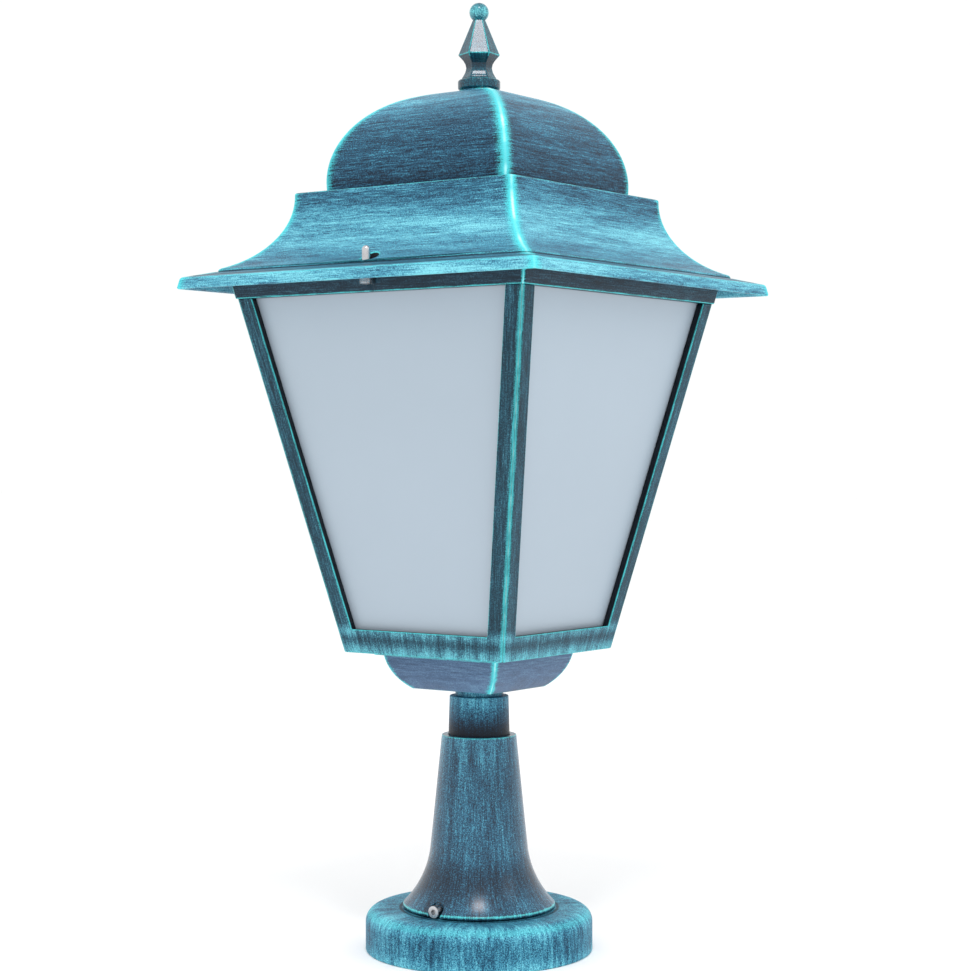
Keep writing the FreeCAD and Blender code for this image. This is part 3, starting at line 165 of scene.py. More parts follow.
def cast_paint(name, way, ridge=0.0, lines=(), holes=(), cover=0.0, paint_and_light_belts=(), ramp=ENAMEL,
               fan=None, gloss=0.42, reveal=0.0, spokes=None, lacquer=0.0,
               haze=0.3, shine=0.22, rubbed=1.0):
    """Dark slate enamel with turquoise brushed nearly dry over it.

    way is the brush's: "eaves" strokes run level round a square piece, "upright" ones run
    down a round piece, and "post" ones run up a square piece.  ramp holds the colours from
    the barest to the thickest paint, cover raises or lowers the whole brushing, and the
    belts are lighter or darker bands as (kind, level, half width, strength): heavier or
    thinner paint, and on some pieces a painted highlight or painted shade.

    lines are rubbed edges as (kind, level, width, strength), or (kind, (level, reach),
    width, strength) for an arris that runs round the piece; below 0 they are dark lines,
    which are joints, and painted shadow where another part stands on the piece.  holes are
    rubbed rims as (x, y, radius), painted dark inside as painted shade.  ridge is the width
    of the bright band on a square piece's corners, rubbed paint with a near-white painted
    highlight down its middle, and rubbed is how bright that band is.

    fan is the slope and foot of a leaning side, its sill's level and its post's width,
    whose "lean" and "sill" lines bound the opening; reveal is how far in from that side the
    paint turns nearly black, as painted shade in the recesses by the panes.  spokes is the
    turn in degrees of a six-sided piece with its lowest and highest level, whose "spoke"
    lines lie on its arrises.

    gloss is the paint's mean roughness and shine its reflection; lacquer and haze are the
    share and the roughness of the clear gloss on top.
    """
    w = Wiring(name)
    side_x = w.math("ABSOLUTE", w.x)
    side_y = w.math("ABSOLUTE", w.y)
    far = w.math("MAXIMUM", side_x, side_y)
    near = w.math("MINIMUM", side_x, side_y)
    radius = w.length(w.x, w.y)
    on_x = w.math("GREATER_THAN", side_x, side_y)
    run = w.math("ADD", w.x, w.math("MULTIPLY", on_x, w.math("SUBTRACT", w.y, w.x)))
    away = w.math("ADD", w.y, w.math("MULTIPLY", on_x, w.math("SUBTRACT", w.x, w.y)))
    face = w.math("ADD", w.math("SIGN", away), w.math("MULTIPLY", on_x, 5.0))
    reach = {"z": w.z, "far": far, "near": near, "radius": radius}
    if fan:
        side = w.math("MULTIPLY_ADD", w.z, fan[0], fan[1])
        lean = w.math("SUBTRACT", side, near)
        below = w.math("LESS_THAN", w.z, fan[2])
        on_post = w.math("LESS_THAN", lean, fan[3])
        reach["lean"] = w.math("ADD", lean, below)
        reach["sill"] = w.math("ADD", w.z, on_post)
    if spokes is not None:
        bearing = w.math("SUBTRACT", w.math("ARCTAN2", w.y, w.x), math.radians(spokes[0]))
        off = w.math("MULTIPLY", radius, w.math("PINGPONG", bearing, math.pi / 6))
        outside = w.math("MAXIMUM", w.math("SUBTRACT", spokes[1], w.z),
                         w.math("SUBTRACT", w.z, spokes[2]))
        reach["spoke"] = w.math("MAXIMUM", off, outside)
    if way == "upright":
        turn = w.math("DIVIDE", STROKE_RADIUS, w.math("MAXIMUM", radius, 0.001))
        across_1, across_2 = w.math("MULTIPLY", w.x, turn), w.math("MULTIPLY", w.y, turn)
        along = w.math("SUBTRACT", w.z, radius)
        stroke = [w.join(w.math("MULTIPLY", across_1, thin), w.math("MULTIPLY", across_2, thin),
                         w.math("MULTIPLY", along, long))
                  for long, thin in ROUND_STROKES]
    else:
        if way == "eaves":
            along, across = run, w.math("SUBTRACT", w.z, far)
        else:
            spread = w.math("MULTIPLY", side, SIDE_SPREAD)
            along, across = w.z, w.math("DIVIDE", run, spread)
        stroke = [w.join(w.math("MULTIPLY", along, long), w.math("MULTIPLY", across, thin), face)
                  for long, thin in SQUARE_STROKES]
    fine = w.noise(stroke[0], detail=3.0, rough=0.65)
    broad = w.noise(stroke[1], detail=3.0, rough=0.6)
    patch = w.noise(stroke[2], detail=2.0)
    speck = w.noise(w.place, SPECK_CELLS, 2.0, 0.7)
    brushing = None
    weights = ROUND_WEIGHTS if way == "upright" else SQUARE_WEIGHTS
    for layer, weight in zip((fine, broad, patch, speck), weights):
        part = w.math("MULTIPLY", w.math("SUBTRACT", layer, 0.5), weight)
        brushing = part if brushing is None else w.math("ADD", brushing, part)
    level = w.math("ADD", brushing, MEAN_COVER + cover)
    # Belts of heavier or thinner paint, which on some pieces are a painted highlight or painted
    # shade.
    for kind, spot, half, strength in paint_and_light_belts:
        belt = w.fade(w.math("ABSOLUTE", w.math("SUBTRACT", reach[kind], spot)), half, 0.0)
        belt = w.math("MULTIPLY", belt, w.math("MULTIPLY_ADD", patch, 1.2, 0.4))
        level = w.math("MULTIPLY_ADD", belt, strength, level)
    stops = w.put("ShaderNodeValToRGB", {0: level})
    marks = stops.color_ramp.elements
    marks[0].position, marks[0].color = ramp[0][0], tint(*ramp[0][1])
    marks[1].position, marks[1].color = ramp[-1][0], tint(*ramp[-1][1])
    for position, colour in ramp[1:-1]:
        marks.new(position).color = tint(*colour)
    colour = stops.outputs[0]

    ragged = w.math("MULTIPLY_ADD", fine, 1.1, w.math("MULTIPLY_ADD", speck, 0.9, -0.5))
    patchy = w.fade(w.math("ADD", fine, w.math("MULTIPLY", speck, 0.7)), 0.68, 0.98)
    # Rubbed paint, and a dark share that holds dark joints and painted shade.
    worn, joints_and_shade = 0.0, 0.0
    for kind, spot, width, strength in lines:
        if kind in reach:
            gap = w.math("ABSOLUTE", w.math("SUBTRACT", reach[kind], spot))
        else:
            rise = w.math("SUBTRACT", w.z, spot[0])
            out = w.math("SUBTRACT", reach[kind.removeprefix("z+")], spot[1])
            gap = w.length(rise, out)
        share = w.math("DIVIDE", gap, w.math("MULTIPLY", ragged, width))
        edge = w.math("MULTIPLY", w.fade(share, 1.3, 0.3), abs(strength))
        if strength > 0:
            edge = w.math("MULTIPLY", edge, w.math("MULTIPLY_ADD", patchy, 0.5, 0.5))
            worn = w.math("MAXIMUM", worn, edge)
        else:
            joints_and_shade = w.math("MAXIMUM", joints_and_shade, edge)
    for hole_x, hole_y, hole_radius in holes:
        off_x, off_y = w.math("SUBTRACT", w.x, hole_x), w.math("SUBTRACT", w.y, hole_y)
        gap = w.math("SUBTRACT", w.length(off_x, off_y), hole_radius)
        edge = w.fade(w.math("DIVIDE", gap, w.math("MULTIPLY", ragged, HOLE_WEAR)), 1.3, 0.2)
        worn = w.math("MAXIMUM", worn, edge)
        # Nearly black inside the hole: painted shade.
        joints_and_shade = w.math("MAXIMUM", joints_and_shade, w.fade(gap, 0.0003, 0.0001))
    colour = w.blend(worn, colour, tint(*RUBBED_EDGE))
    # Bright corner band: rubbed paint with a near-white painted highlight down its middle.
    if ridge:
        share = w.math("DIVIDE", w.math("SUBTRACT", far, near),
                       w.math("MULTIPLY", ragged, ridge))
        uneven = w.fade(w.noise(w.join(0.0, 0.0, w.z), 60.0, 2.0), 0.42, 0.62)
        ridge_wear_and_highlight = w.math("MULTIPLY", w.fade(share, 1.8, 0.3),
                      w.math("MULTIPLY_ADD", uneven, 0.2 * rubbed, 0.8 * rubbed))
        colour = w.blend(ridge_wear_and_highlight, colour, tint(*RIDGE_WEAR_AND_HIGHLIGHT))
        ridge_highlight = w.math("MULTIPLY", w.fade(share, 0.42, 0.05),
                      w.math("MULTIPLY_ADD", uneven, 0.85 * rubbed, 0.1 * rubbed))
        colour = w.blend(ridge_highlight, colour, tint(*RIDGE_HIGHLIGHT_CORE))
    if reveal:
        # Nearly black in the reveal, inward of the leaning side: painted shade.
        joints_and_shade = w.math("MAXIMUM", joints_and_shade, w.fade(w.math("SUBTRACT", side, far), reveal, 3 * reveal))
    colour = w.blend(joints_and_shade, colour, tint(*DARK_JOINT_AND_SHADE))
    peel = w.bump(w.noise(w.place, PEEL_CELLS, 2.0), PEEL_DEPTH)
    normal = w.bump(w.math("MULTIPLY_ADD", speck, 0.6, fine), BRUSH_DEPTH, peel)
    rough = w.math("MULTIPLY_ADD", w.math("SUBTRACT", fine, 0.5), 0.35, gloss, clamp=True)
    return w.finish(Base_Color=colour, Roughness=rough, Normal=normal,
                    Specular_IOR_Level=shine, Coat_Weight=lacquer, Coat_Roughness=haze)


def show(piece, material, body, slot_name, *nodes, angle=38.0):
    """Smooths a new piece up to an angle, gives it its finish and its place in the frame."""
    piece.data.shade_smooth()
    piece.data.set_sharp_from_angle(angle=math.radians(angle))
    piece.data.materials.clear()
    piece.data.materials.append(material)
    evened = piece.modifiers.new("evened", "WEIGHTED_NORMAL")
    evened.keep_sharp = True
    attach(piece, body)
    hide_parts(*nodes)


SAME_POINT = 2e-6
LEVEL_FACETS = math.radians(0.4)
SHARP_ARRIS = math.radians(30)
ARRIS_STEPS = 3


def soft_casting(node, width, material, body):
    """Casting as it leaves the sand: the drawn piece with every outward arris rounded.

    Points that lie together are joined and level facets made one, then each edge that turns
    outward by more than SHARP_ARRIS is cut back by width and rounded in ARRIS_STEPS steps.
    """
    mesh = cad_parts[node].data.copy()
    build = bmesh.new()
    build.from_mesh(mesh)
    bmesh.ops.remove_doubles(build, verts=build.verts, dist=SAME_POINT)
    bmesh.ops.dissolve_limit(build, verts=build.verts, edges=build.edges,
                             angle_limit=LEVEL_FACETS)
    arrises = [edge for edge in build.edges
               if edge.is_convex and edge.calc_face_angle(0.0) > SHARP_ARRIS]
    bmesh.ops.bevel(build, geom=arrises, offset=width, segments=ARRIS_STEPS, profile=0.5,
                    affect="EDGES", clamp_overlap=False, offset_type="OFFSET",
                    miter_outer="ARC")
    bmesh.ops.remove_doubles(build, verts=build.verts, dist=SAME_POINT / 2)
    build.to_mesh(mesh)
    build.free()
    piece = bpy.data.objects.new(f"{node}_casting", mesh)
    bpy.context.scene.collection.objects.link(piece)
    show(piece, material, body, "cast_paint", node)


def dress(material, *nodes):
    """Gives carried-over pieces their finish, on their own slots."""
    for name in nodes:
        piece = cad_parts[name]
        if not piece.material_slots:
            piece.data.materials.append(None)
        for slot in piece.material_slots:
            slot.link = "OBJECT"
            slot.material = material


BASE_PAINT = cast_paint(
    "base_enamel", "upright", cover=0.05, gloss=0.5, shine=0.12,
    paint_and_light_belts=[("radius", BASE_RADIUS - 0.005, 0.010, 0.12), ("z", BASE_TOP - 0.003, 0.008, 0.14),
            ("z", 0.0, 0.009, 0.16)],
    # The dark ring at the stem's seat is painted shadow round the stem's foot.
    lines=[("z", BASE_TOP - 0.0025, 0.004, 0.3), ("z+radius", (0.0, BASE_RADIUS), 0.0014, 0.5),
           ("radius", STEM_SEAT_RADIUS, 0.0022, -0.8)])
soft_casting("base_disc", 0.0006, BASE_PAINT, "base")


# ---------------------------------------------------------------- stem
# Cast stem with a flared foot, brushed from top to bottom, that stands over the plate's
# raised ring.  Its rim and its top edge are rubbed bright; two arched notches in the foot
# take the heads of its clamp screws.
STEM_RIM_RADIUS = 0.0465
STEM_RIM_TOP = 0.0284
STEM_TOP = 0.1315
STEM_TOP_RADIUS = 0.0228
STEM_FLARE = 0.046
STEM_PAINT = cast_paint(
    "stem_enamel", "upright", cover=-0.01, lacquer=0.65, haze=0.24, shine=0.1,
    paint_and_light_belts=[("z", STEM_TOP, 0.03, 0.12), ("z", STEM_FLARE, 0.016, -0.16)],
    lines=[("z+radius", (STEM_RIM_TOP, STEM_RIM_RADIUS), 0.0016, 0.9),
           ("z+radius", (STEM_TOP, STEM_TOP_RADIUS), 0.0013, 0.75)])
soft_casting("stem", 0.0005, STEM_PAINT, "post")


# ---------------------------------------------------------------- stem screws
# Bright stainless socket screws, one at the front and one at the back.  They are driven
# inwards through the stem's foot and clamp it on the plate's raised ring.
TURNED_ACROSS = 300.0
TURNED_ALONG = 2600.0


def bright_metal(name, colour, rough, grain=900.0, scratch=0.3):
    """Bare metal: its tone and gloss vary in fine cloudy spots and faint turned lines."""
    w = Wiring(name)
    cloud = w.noise(w.place, grain * 0.25, 2.0)
    turned = w.join(w.math("MULTIPLY", w.x, TURNED_ACROSS),
                    w.math("MULTIPLY", w.y, TURNED_ACROSS),
                    w.math("MULTIPLY", w.z, TURNED_ALONG))
    lines = w.noise(turned, 1.0, 2.0)
    shade = w.blend(cloud, tint(*[0.78 * c for c in colour]), tint(*colour))
    roughness = w.math("MULTIPLY_ADD", lines, scratch, rough, clamp=True)
    normal = w.bump(w.math("ADD", lines, w.noise(w.place, grain, 2.0)), 0.00003)
    return w.finish(Base_Color=shade, Metallic=1.0, Roughness=roughness, Normal=normal)


STAINLESS = bright_metal("stainless", (226, 226, 228), 0.14)
dress(STAINLESS, "stem_screw_front", "stem_screw_back")


# ---------------------------------------------------------------- neck and tie tube
# Neck tube in the stem's socket and the collar on it, enamelled like the castings, and the
# zinc-plated tube with its nuts and washers that holds the lantern down on them.
NECK_TOP = 0.1553
NECK_RADIUS = 0.0187
NECK_PAINT = cast_paint(
    "neck_enamel", "upright", cover=-0.04,
    paint_and_light_belts=[("z", NECK_TOP, 0.014, 0.26), ("z", STEM_TOP, 0.013, -0.42)],
    lines=[("z+radius", (NECK_TOP, NECK_RADIUS), 0.0011, 0.5)])
soft_casting("neck_tube", 0.0005, NECK_PAINT, "post")
soft_casting("neck_collar", 0.0004, NECK_PAINT, "post")
ZINC = bright_metal("zinc_steel", (196, 200, 204), 0.28)
dress(ZINC, "threaded_tube", "lower_washer", "lower_lock_nut", "upper_washer",
      "upper_lock_nut")


def moulded(name, colour, rough, grain=700.0, depth=0.00004, through=0.0):
    """Moulded plastic, rubber or glazed ware: faint clouding, fine grain and uneven gloss."""
    w = Wiring(name)
    cloud = w.noise(w.place, 60.0, 3.0)
    skin = w.noise(w.place, grain, 2.0)
    shade = w.blend(cloud, tint(*[0.9 * c for c in colour]), tint(*colour))
    roughness = w.math("MULTIPLY_ADD", skin, 0.2, rough, clamp=True)
    return w.finish(Base_Color=shade, Roughness=roughness, Normal=w.bump(skin, depth),
                    Transmission_Weight=through)


GREY_PLASTIC = moulded("grey_plastic", (96, 98, 100), 0.42)
dress(GREY_PLASTIC, "cable_bushing")


# ---------------------------------------------------------------- bowl
# Shallow cast bowl with a square plan that carries the lantern on the neck, screwed to the
# cage's floor.  It is smooth and faintly brushed round, and its ridges carry rubbed paint
# with a painted highlight down their middle.
BOWL_FOOT = 0.160
BOWL_FOOT_HALF = 0.0293
BOWL_RIM = 0.1808
BOWL_PAINT = [(0.0, (52, 74, 102)), (0.45, (80, 108, 140)), (0.75, (104, 138, 168)),
              (1.0, (136, 190, 210))]
BOWL_FINISH = cast_paint(
    "bowl_enamel", "eaves", ridge=0.0045, ramp=BOWL_PAINT,
    lines=[("z", BOWL_RIM, 0.0012, 0.7), ("z+far", (BOWL_FOOT, BOWL_FOOT_HALF), 0.0012, 0.5)])
soft_casting("bottom_bowl", 0.001, BOWL_FINISH, "post")
dress(STAINLESS, "bowl_screws")


# ---------------------------------------------------------------- cage
# Cast frame of four leaning posts on a sill.  The strokes follow the posts, the outer
# arrises are rubbed bright with a painted highlight down the corners, and the reveals by the
# panes are painted nearly black as painted shade.
CAGE_FOOT = 0.1828
CAGE_TOP = 0.3954
CAGE_FOOT_HALF = 0.059
CAGE_TOP_HALF = 0.1043
POST_FACE = 0.012
SILL_TOP = 0.1972
CAGE_LEAN = (CAGE_TOP_HALF - CAGE_FOOT_HALF) / (CAGE_TOP - CAGE_FOOT)
CAGE_SPREAD = (CAGE_LEAN, CAGE_FOOT_HALF - CAGE_FOOT * CAGE_LEAN)
POST_PAINT = [(0.0, (4, 26, 36)), (0.4, (18, 56, 72)), (0.7, (54, 110, 130)),
              (1.0, (104, 192, 206))]
CAGE_FINISH = cast_paint(
    # Corner band with a painted highlight; painted shade in the reveals.
    "cage_enamel", "post", ridge=0.0034, rubbed=0.66, ramp=POST_PAINT, reveal=0.0004,
    fan=(*CAGE_SPREAD, SILL_TOP, POST_FACE),
    paint_and_light_belts=[("z", CAGE_FOOT + 0.001, 0.009, 0.42), ("z", SILL_TOP - 0.001, 0.006, 0.3)],
    lines=[("lean", POST_FACE, 0.0012, 0.8), ("sill", SILL_TOP, 0.0012, 0.85),
           ("z+far", (CAGE_FOOT, CAGE_FOOT_HALF), 0.0014, 0.7)])
soft_casting("lantern_cage", 0.0007, CAGE_FINISH, "post")


# ---------------------------------------------------------------- panes and their clips
# Four opal panes, satin on both faces, that stand behind the posts and the sill, and the
# zinc-plated spring strips and screws that press their feet outwards.
def opal(name, low_tone, high_tone, low, high):
    """Opal sheet, a little lighter at one level than at another, with faint clouding."""
    w = Wiring(name)
    cloud = w.noise(w.place, 26.0, 2.0)
    height = w.fade(w.z, low, high)
    height = w.math("MULTIPLY_ADD", w.math("SUBTRACT", cloud, 0.5), 0.35, height, clamp=True)
    shade = w.blend(height, tint(*low_tone), tint(*high_tone))
    satin = w.noise(w.place, 900.0, 2.0)
    roughness = w.math("MULTIPLY_ADD", satin, 0.16, 0.3, clamp=True)
    return w.finish(Base_Color=shade, Roughness=roughness, Normal=w.bump(satin, 0.00001))


PANE = opal("opal_pane", (166, 181, 193), (172, 187, 199), 0.20, 0.40)
dress(PANE, "pane_front", "pane_right", "pane_back", "pane_left")
dress(ZINC, "pane_clips", "pane_clip_screws")


# ---------------------------------------------------------------- top rail
# Cast band that closes the posts at the top and holds the panes under its lip.  Its paint
# is darker than the posts', as painted shade under the roof's brim, with a thin bright lower
# edge and a narrow painted highlight on its corners.
RAIL_HALF = 0.1052
# Darker ramp: the rail's paint with painted shade from the brim above.
RAIL_SHADED_PAINT = [(0.0, (10, 28, 38)), (0.42, (26, 52, 68)), (0.72, (54, 94, 112)),
              (1.0, (100, 160, 172))]
RAIL_FINISH = cast_paint(
    "rail_enamel", "eaves", ridge=0.0022, ramp=RAIL_SHADED_PAINT,
    lines=[("z+far", (CAGE_TOP, RAIL_HALF), 0.0013, 0.85)])
soft_casting("top_rail", 0.0005, RAIL_FINISH, "post")
dress(STAINLESS, "top_rail_screws")


# ---------------------------------------------------------------- lampholder and terminals
# Porcelain holder on a bent zinc bridge, with a brass screw shell and contact; beside it
# the plastic terminal block with brass clamps, and the earth screw.
PORCELAIN = moulded("porcelain", (236, 233, 224), 0.08, 90.0, 0.00005)
BRASS = bright_metal("brass", (214, 178, 104), 0.22)
dress(ZINC, "lampholder_bridge", "lampholder_bridge_screws", "lampholder_screws",
      "earth_washer", "terminal_block_screw")
dress(PORCELAIN, "lampholder_body")
dress(BRASS, "lampholder_shell", "lampholder_contact", "terminal_clamp_screws",
      "earth_screw")
dress(moulded("white_plastic", (228, 228, 222), 0.36), "terminal_block", "bulb_housing")


# ---------------------------------------------------------------- bulb
# Screw-in bulb with a nickel-plated cap, a white plastic housing and an opal globe.  It is
# screwed down into the holder's brass shell.
dress(bright_metal("nickel_cap", (206, 202, 194), 0.18), "bulb_cap")
dress(moulded("opal_globe", (242, 242, 238), 0.2, 300.0, 0.00001), "bulb_globe")


# ---------------------------------------------------------------- roof skirt
# Cast lower roof with a thin flat brim.  It is brushed level with the eaves, most heavily
# along the brim.  The whole skirt and a belt half way up are lighter, partly heavier turquoise
# and partly painted light where the skirt faces up.  The ridges carry rubbed paint with a
# painted highlight down their middle, and the screw wells are painted dark inside as painted
# shade.
BRIM_FOOT = 0.4008
BRIM_HALF = 0.130
BRIM_EDGE_TOP = 0.4075
BRIM_TOP_HALF = 0.1285
SHELF_TOP = 0.4113
SKIRT_FOOT = 0.4128
SKIRT_FOOT_HALF = 0.113
SKIRT_TOP = 0.4592
SKIRT_TOP_HALF = 0.0805
SKIRT_BELT = 0.432
SCREW_WELL_PLACE = 0.1068
SCREW_WELL_RADIUS = 0.0052
SKIRT_PAINT = cast_paint(
    # Lighter overall and in the belt: heavier turquoise, and painted light where the skirt faces
    # up.
    "skirt_enamel", "eaves", ridge=0.0082, cover=0.10,
    paint_and_light_belts=[("z", SKIRT_BELT, 0.024, 0.26), ("far", BRIM_HALF, 0.010, 0.28)],
    holes=[(0.0, -SCREW_WELL_PLACE, SCREW_WELL_RADIUS),
           (0.0, SCREW_WELL_PLACE, SCREW_WELL_RADIUS)],
    lines=[("z+far", (SKIRT_TOP, SKIRT_TOP_HALF), 0.0014, 0.8),
           ("z+far", (SKIRT_FOOT, SKIRT_FOOT_HALF), 0.0013, 0.6),
           ("z", SHELF_TOP + 0.0002, 0.0010, -0.7),
           ("z+far", (BRIM_EDGE_TOP, BRIM_TOP_HALF), 0.0014, 0.8),
           ("z+far", (BRIM_FOOT, BRIM_HALF), 0.0012, 0.7),
           ("z", BRIM_EDGE_TOP + 0.0014, 0.0012, -0.7)])
soft_casting("roof_skirt", 0.0013, SKIRT_PAINT, "roof")
dress(moulded("gasket_rubber", (30, 30, 32), 0.6), "roof_gasket")


# ---------------------------------------------------------------- dome
# Cast four-sided dome, screwed from below to the skirt's plate.  It is brushed level, with a
# painted sheen lightening its top and painted shade darkening its foot; its ridges carry
# rubbed paint with a painted highlight down their middle.
DOME_TOP = 0.5232
DOME_PAINT = cast_paint(
    "dome_enamel", "eaves", ridge=0.0086, cover=-0.02,
    # Painted sheen at the top, painted shade at the foot.
    paint_and_light_belts=[("z", DOME_TOP, 0.034, 0.22), ("z", SKIRT_TOP, 0.02, -0.08)],
    lines=[("z", SKIRT_TOP + 0.0006, 0.0012, -0.6)])
soft_casting("roof_dome", 0.0014, DOME_PAINT, "roof")
dress(STAINLESS, "dome_screws")


# ---------------------------------------------------------------- finial
# Cast spear with six faces, a round collar and a ball, screwed on the dome's stud.  Its
# arrises are rubbed bright, its ball is painted lighter turquoise, and its waist under the rim
# is painted dark as painted shade.
FINIAL_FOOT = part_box("finial")[0].z
FINIAL_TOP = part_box("finial")[1].z
FINIAL_TURN = 35.7
COLLAR_HEIGHT = 0.006
BALL_RADIUS = 0.0059
SPEAR_WAIST = 0.0165
SPEAR_FOOT = 0.0195
SPEAR_RIM = 0.0212
SPEAR_POINT = 0.0425
SPEAR_RISES = np.array([2.0, 6.0, 7.2, 8.6, 10.6, 13.2, 15.6, 17.6, 19.2, 20.4, 21.2, 21.9,
                        24.0, 42.4, 43.5]) / 1000
SPEAR_RADII = np.array([10.8, 10.8, 10.6, 9.7, 8.6, 7.9, 8.4, 9.6, 11.0, 12.2, 12.8, 12.5,
                        11.6, 3.9, 0.0]) / 1000


def soft_corners(outline, size, steps=4):
    """Outline with each inner corner eased.  A corner P between A and B becomes the parabola
    (1-t)^2 (P+a) + 2t(1-t) P + t^2 (P+b), where a and b reach size along each side, or 0.45
    of the side where it is short."""
    corner, before, after = outline[1:-1], outline[:-2], outline[2:]
    back, on = before - corner, after - corner
    back_length = np.linalg.norm(back, axis=1, keepdims=True)
    on_length = np.linalg.norm(on, axis=1, keepdims=True)
    start = corner + back / back_length * np.minimum(size, 0.45 * back_length)
    end = corner + on / on_length * np.minimum(size, 0.45 * on_length)
    t = np.linspace(0, 1, steps + 1)[None, :, None]
    eased = (1 - t) ** 2 * start[:, None] + 2 * t * (1 - t) * corner[:, None]
    eased = eased + t ** 2 * end[:, None]
    return np.vstack([outline[:1], eased.reshape(-1, 2), outline[-1:]])


def skin(name, points):
    """Closed surface through a grid of points: rows go up the outline and columns go round,
    anticlockwise from above.  Each cell is one face, the last column joins the first, and a
    row that meets in one point is a pole."""
    rows, columns = points.shape[:2]
    index = np.arange(rows * columns).reshape(rows, columns)
    beside = np.roll(index, -1, axis=1)
    cells = np.stack([index[:-1], beside[:-1], beside[1:], index[1:]], axis=-1).reshape(-1, 4)
    mesh = bpy.data.meshes.new(name)
    mesh.from_pydata(points.reshape(-1, 3).tolist(), [], cells.tolist())
    build = bmesh.new()
    build.from_mesh(mesh)
    bmesh.ops.remove_doubles(build, verts=build.verts, dist=1e-6)
    build.to_mesh(mesh)
    build.free()
    piece = bpy.data.objects.new(name, mesh)
    bpy.context.scene.collection.objects.link(piece)
    return piece


def carried(outline, around):
    """Grid of an outline carried round: radius r and level z give (r u, r v, z) for each
    plan direction (u, v)."""
    flat = outline[:, None, :1] * around[None]
    level = np.broadcast_to(outline[:, None, 1:], (*flat.shape[:2], 1))
    return np.concatenate([flat, level], axis=-1)


def turned_points(outline, columns=96):
    """Grid of a turned shape: radius r and level z give (r cos a, r sin a, z)."""
    turn = np.arange(columns) / columns * 2 * math.pi
    return carried(outline, np.stack([np.cos(turn), np.sin(turn)], axis=-1))


def faceted_points(outline, sides, turn, ease, columns=120):
    """Grid of a many-sided shape.  At bearing a its share of r is s = cos(pi/n) / cos(a'),
    where a' is the bearing from the middle of the nearest face; near an arris it is eased to
    s - ln(1 + e^(3 (s - 1 + ease) / ease)) ease / 3, which stays below 1 and rounds it."""
    bearing = np.arange(columns) / columns * 2 * math.pi
    part = math.pi / sides
    off = (bearing - turn) % (2 * part) - part
    reach = np.cos(part) / np.cos(off)
    reach = reach - np.log1p(np.exp(3 * (reach - 1 + ease) / ease)) * ease / 3
    return carried(outline, np.stack([np.cos(bearing), np.sin(bearing)], axis=-1)
                   * reach[:, None])


def join_solids(whole, *others):
    """Joins closed shapes into one skin and removes what lies inside."""
    for other in others:
        union = whole.modifiers.new("join", "BOOLEAN")
        union.operation, union.solver, union.object = "UNION", "EXACT", other
    graph = bpy.context.evaluated_depsgraph_get()
    mesh = bpy.data.meshes.new_from_object(whole.evaluated_get(graph))
    whole.modifiers.clear()
    whole.data = mesh
    for other in others:
        bpy.data.objects.remove(other)
    return whole


collar_outline = np.array([(0, 0), (12.1, 0), (12.9, 0.8), (12.9, 5.2), (12.1, 6), (0, 6)]) / 1000
collar_outline[:, 1] += FINIAL_FOOT
collar = skin("finial_casting", turned_points(soft_corners(collar_outline, 0.0005)))
spear_outline = np.stack([SPEAR_RADII, SPEAR_RISES + FINIAL_FOOT], axis=-1)
spear_outline = np.vstack([[(0.0, spear_outline[0, 1])], spear_outline])
spear = skin("finial_spear", faceted_points(soft_corners(spear_outline, 0.0004), 6,
                                            math.radians(FINIAL_TURN), 0.012))
ball_rise = np.linspace(-math.pi / 2, math.pi / 2, 40)
ball_outline = np.stack([BALL_RADIUS * np.cos(ball_rise),
                         FINIAL_TOP - BALL_RADIUS + BALL_RADIUS * np.sin(ball_rise)], axis=-1)
ball_outline[[0, -1], 0] = 0.0
ball = skin("finial_ball", turned_points(ball_outline, 64))
FINIAL_PAINT = [(0.0, (2, 30, 44)), (0.4, (8, 58, 76)), (0.7, (40, 118, 136)),
                (1.0, (112, 206, 212))]
FINIAL_FINISH = cast_paint(
    "finial_enamel", "upright", ramp=FINIAL_PAINT, gloss=0.34, lacquer=0.6, haze=0.16,
    shine=0.1, spokes=(FINIAL_TURN, FINIAL_FOOT + SPEAR_FOOT, FINIAL_FOOT + SPEAR_POINT),
    paint_and_light_belts=[("z", FINIAL_TOP - BALL_RADIUS, 0.008, 0.42),
            # Dark waist under the rim: painted shade.
            ("z", FINIAL_FOOT + SPEAR_WAIST, 0.006, -0.3)],
    lines=[("spoke", 0.0, 0.0007, 0.8), ("z", FINIAL_FOOT + SPEAR_RIM, 0.0008, 0.8),
           ("z", FINIAL_FOOT + COLLAR_HEIGHT, 0.0006, 0.5)])
show(join_solids(collar, spear, ball), FINIAL_FINISH, "roof", "cast_paint", "finial")
dress(ZINC, "finial_stud", "finial_washer", "finial_nut")


# ---------------------------------------------------------------- roof screws
# One bright screw at the front and one at the back hold the roof on the rail's ears; the
# dark washer sits under each head.
dress(STAINLESS, "roof_screw_front", "roof_screw_back")
dress(bright_metal("dark_washer", (96, 98, 104), 0.35), "roof_screw_washer_front",
      "roof_screw_washer_back")


# ---------------------------------------------------------------- floor, light and camera
# Plain pale floor and sky, a soft lamp high above the camera and a wider, weaker and cooler
# one on the right.  The camera stands off the front right corner, level with the panes.
def flat_colour(name, colour):
    """Matt studio surface with a trace of grain."""
    w = Wiring(name)
    shade = w.blend(w.noise(w.place, 3.0), tint(*[0.996 * c for c in colour]), tint(*colour))
    return w.finish(Base_Color=shade, Roughness=0.9)


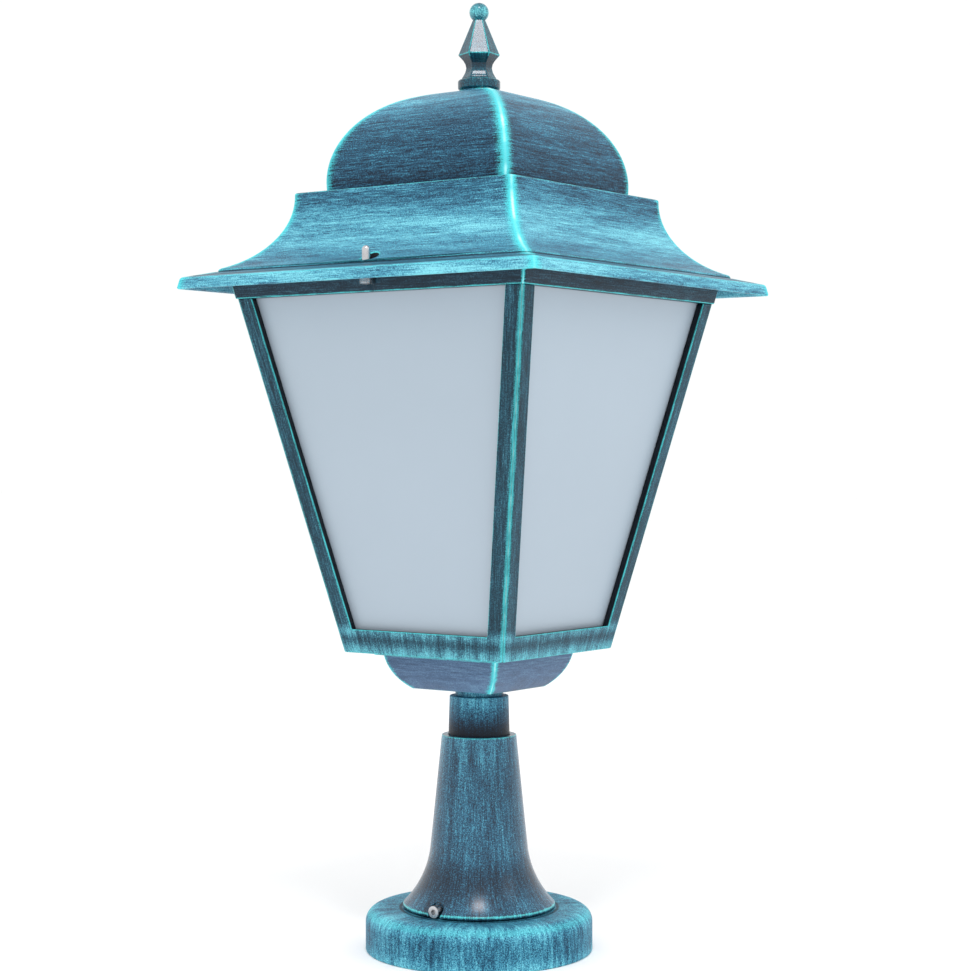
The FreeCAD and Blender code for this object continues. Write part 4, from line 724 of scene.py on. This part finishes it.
FLOOR_REACH = 12.0
floor_mesh = bpy.data.meshes.new("floor")
floor_mesh.from_pydata([(-FLOOR_REACH, -FLOOR_REACH, 0), (FLOOR_REACH, -FLOOR_REACH, 0),
                        (FLOOR_REACH, FLOOR_REACH, 0), (-FLOOR_REACH, FLOOR_REACH, 0)],
                       [], [(0, 1, 2, 3)])
floor = bpy.data.objects.new("floor", floor_mesh)
floor_mesh.materials.append(flat_colour("floor_white", (255, 255, 255)))
bpy.context.scene.collection.objects.link(floor)

bpy.context.scene.view_settings.view_transform = "Standard"
world = bpy.data.worlds.new("studio")
world.use_nodes = True
backdrop = world.node_tree.nodes["Background"]
backdrop.inputs["Color"].default_value = (1.0, 1.0, 1.0, 1.0)
backdrop.inputs["Strength"].default_value = 1.02
bpy.context.scene.world = world


def soft_lamp(name, place, aim, width, power, colour):
    """Square soft lamp at a place, facing a point."""
    data = bpy.data.lights.new(name, "AREA")
    data.size, data.energy, data.color = width, power, colour
    lamp = bpy.data.objects.new(name, data)
    way = Vector(aim) - Vector(place)
    lamp.location, lamp.rotation_euler = place, way.to_track_quat("-Z", "Y").to_euler()
    bpy.context.scene.collection.objects.link(lamp)


LAMP_MIDDLE = (0.0, 0.0, 0.32)
KEY_PLACE = (0.72, -0.98, 2.32)
FILL_PLACE = (2.0, 0.5, 1.5)
soft_lamp("key", KEY_PLACE, LAMP_MIDDLE, 0.52, 21.0, (1.0, 0.95, 0.98))
soft_lamp("fill", FILL_PLACE, LAMP_MIDDLE, 1.0, 4.0, (0.85, 0.93, 1.0))

camera_data = bpy.data.cameras.new("camera")
camera_data.sensor_width = 36.0
camera_data.lens = 81.36
camera_data.shift_x = 0.0061
camera = bpy.data.objects.new("camera", camera_data)
TURN = math.radians(35.71)
DIP = math.radians(0.88)
DISTANCE = 1.3393
CAMERA_LEVEL = 0.3039
camera.location = (DISTANCE * math.sin(TURN), -DISTANCE * math.cos(TURN), CAMERA_LEVEL)
camera.rotation_euler = (math.radians(90) - DIP, 0.0, TURN)
bpy.context.scene.collection.objects.link(camera)
bpy.context.scene.camera = camera
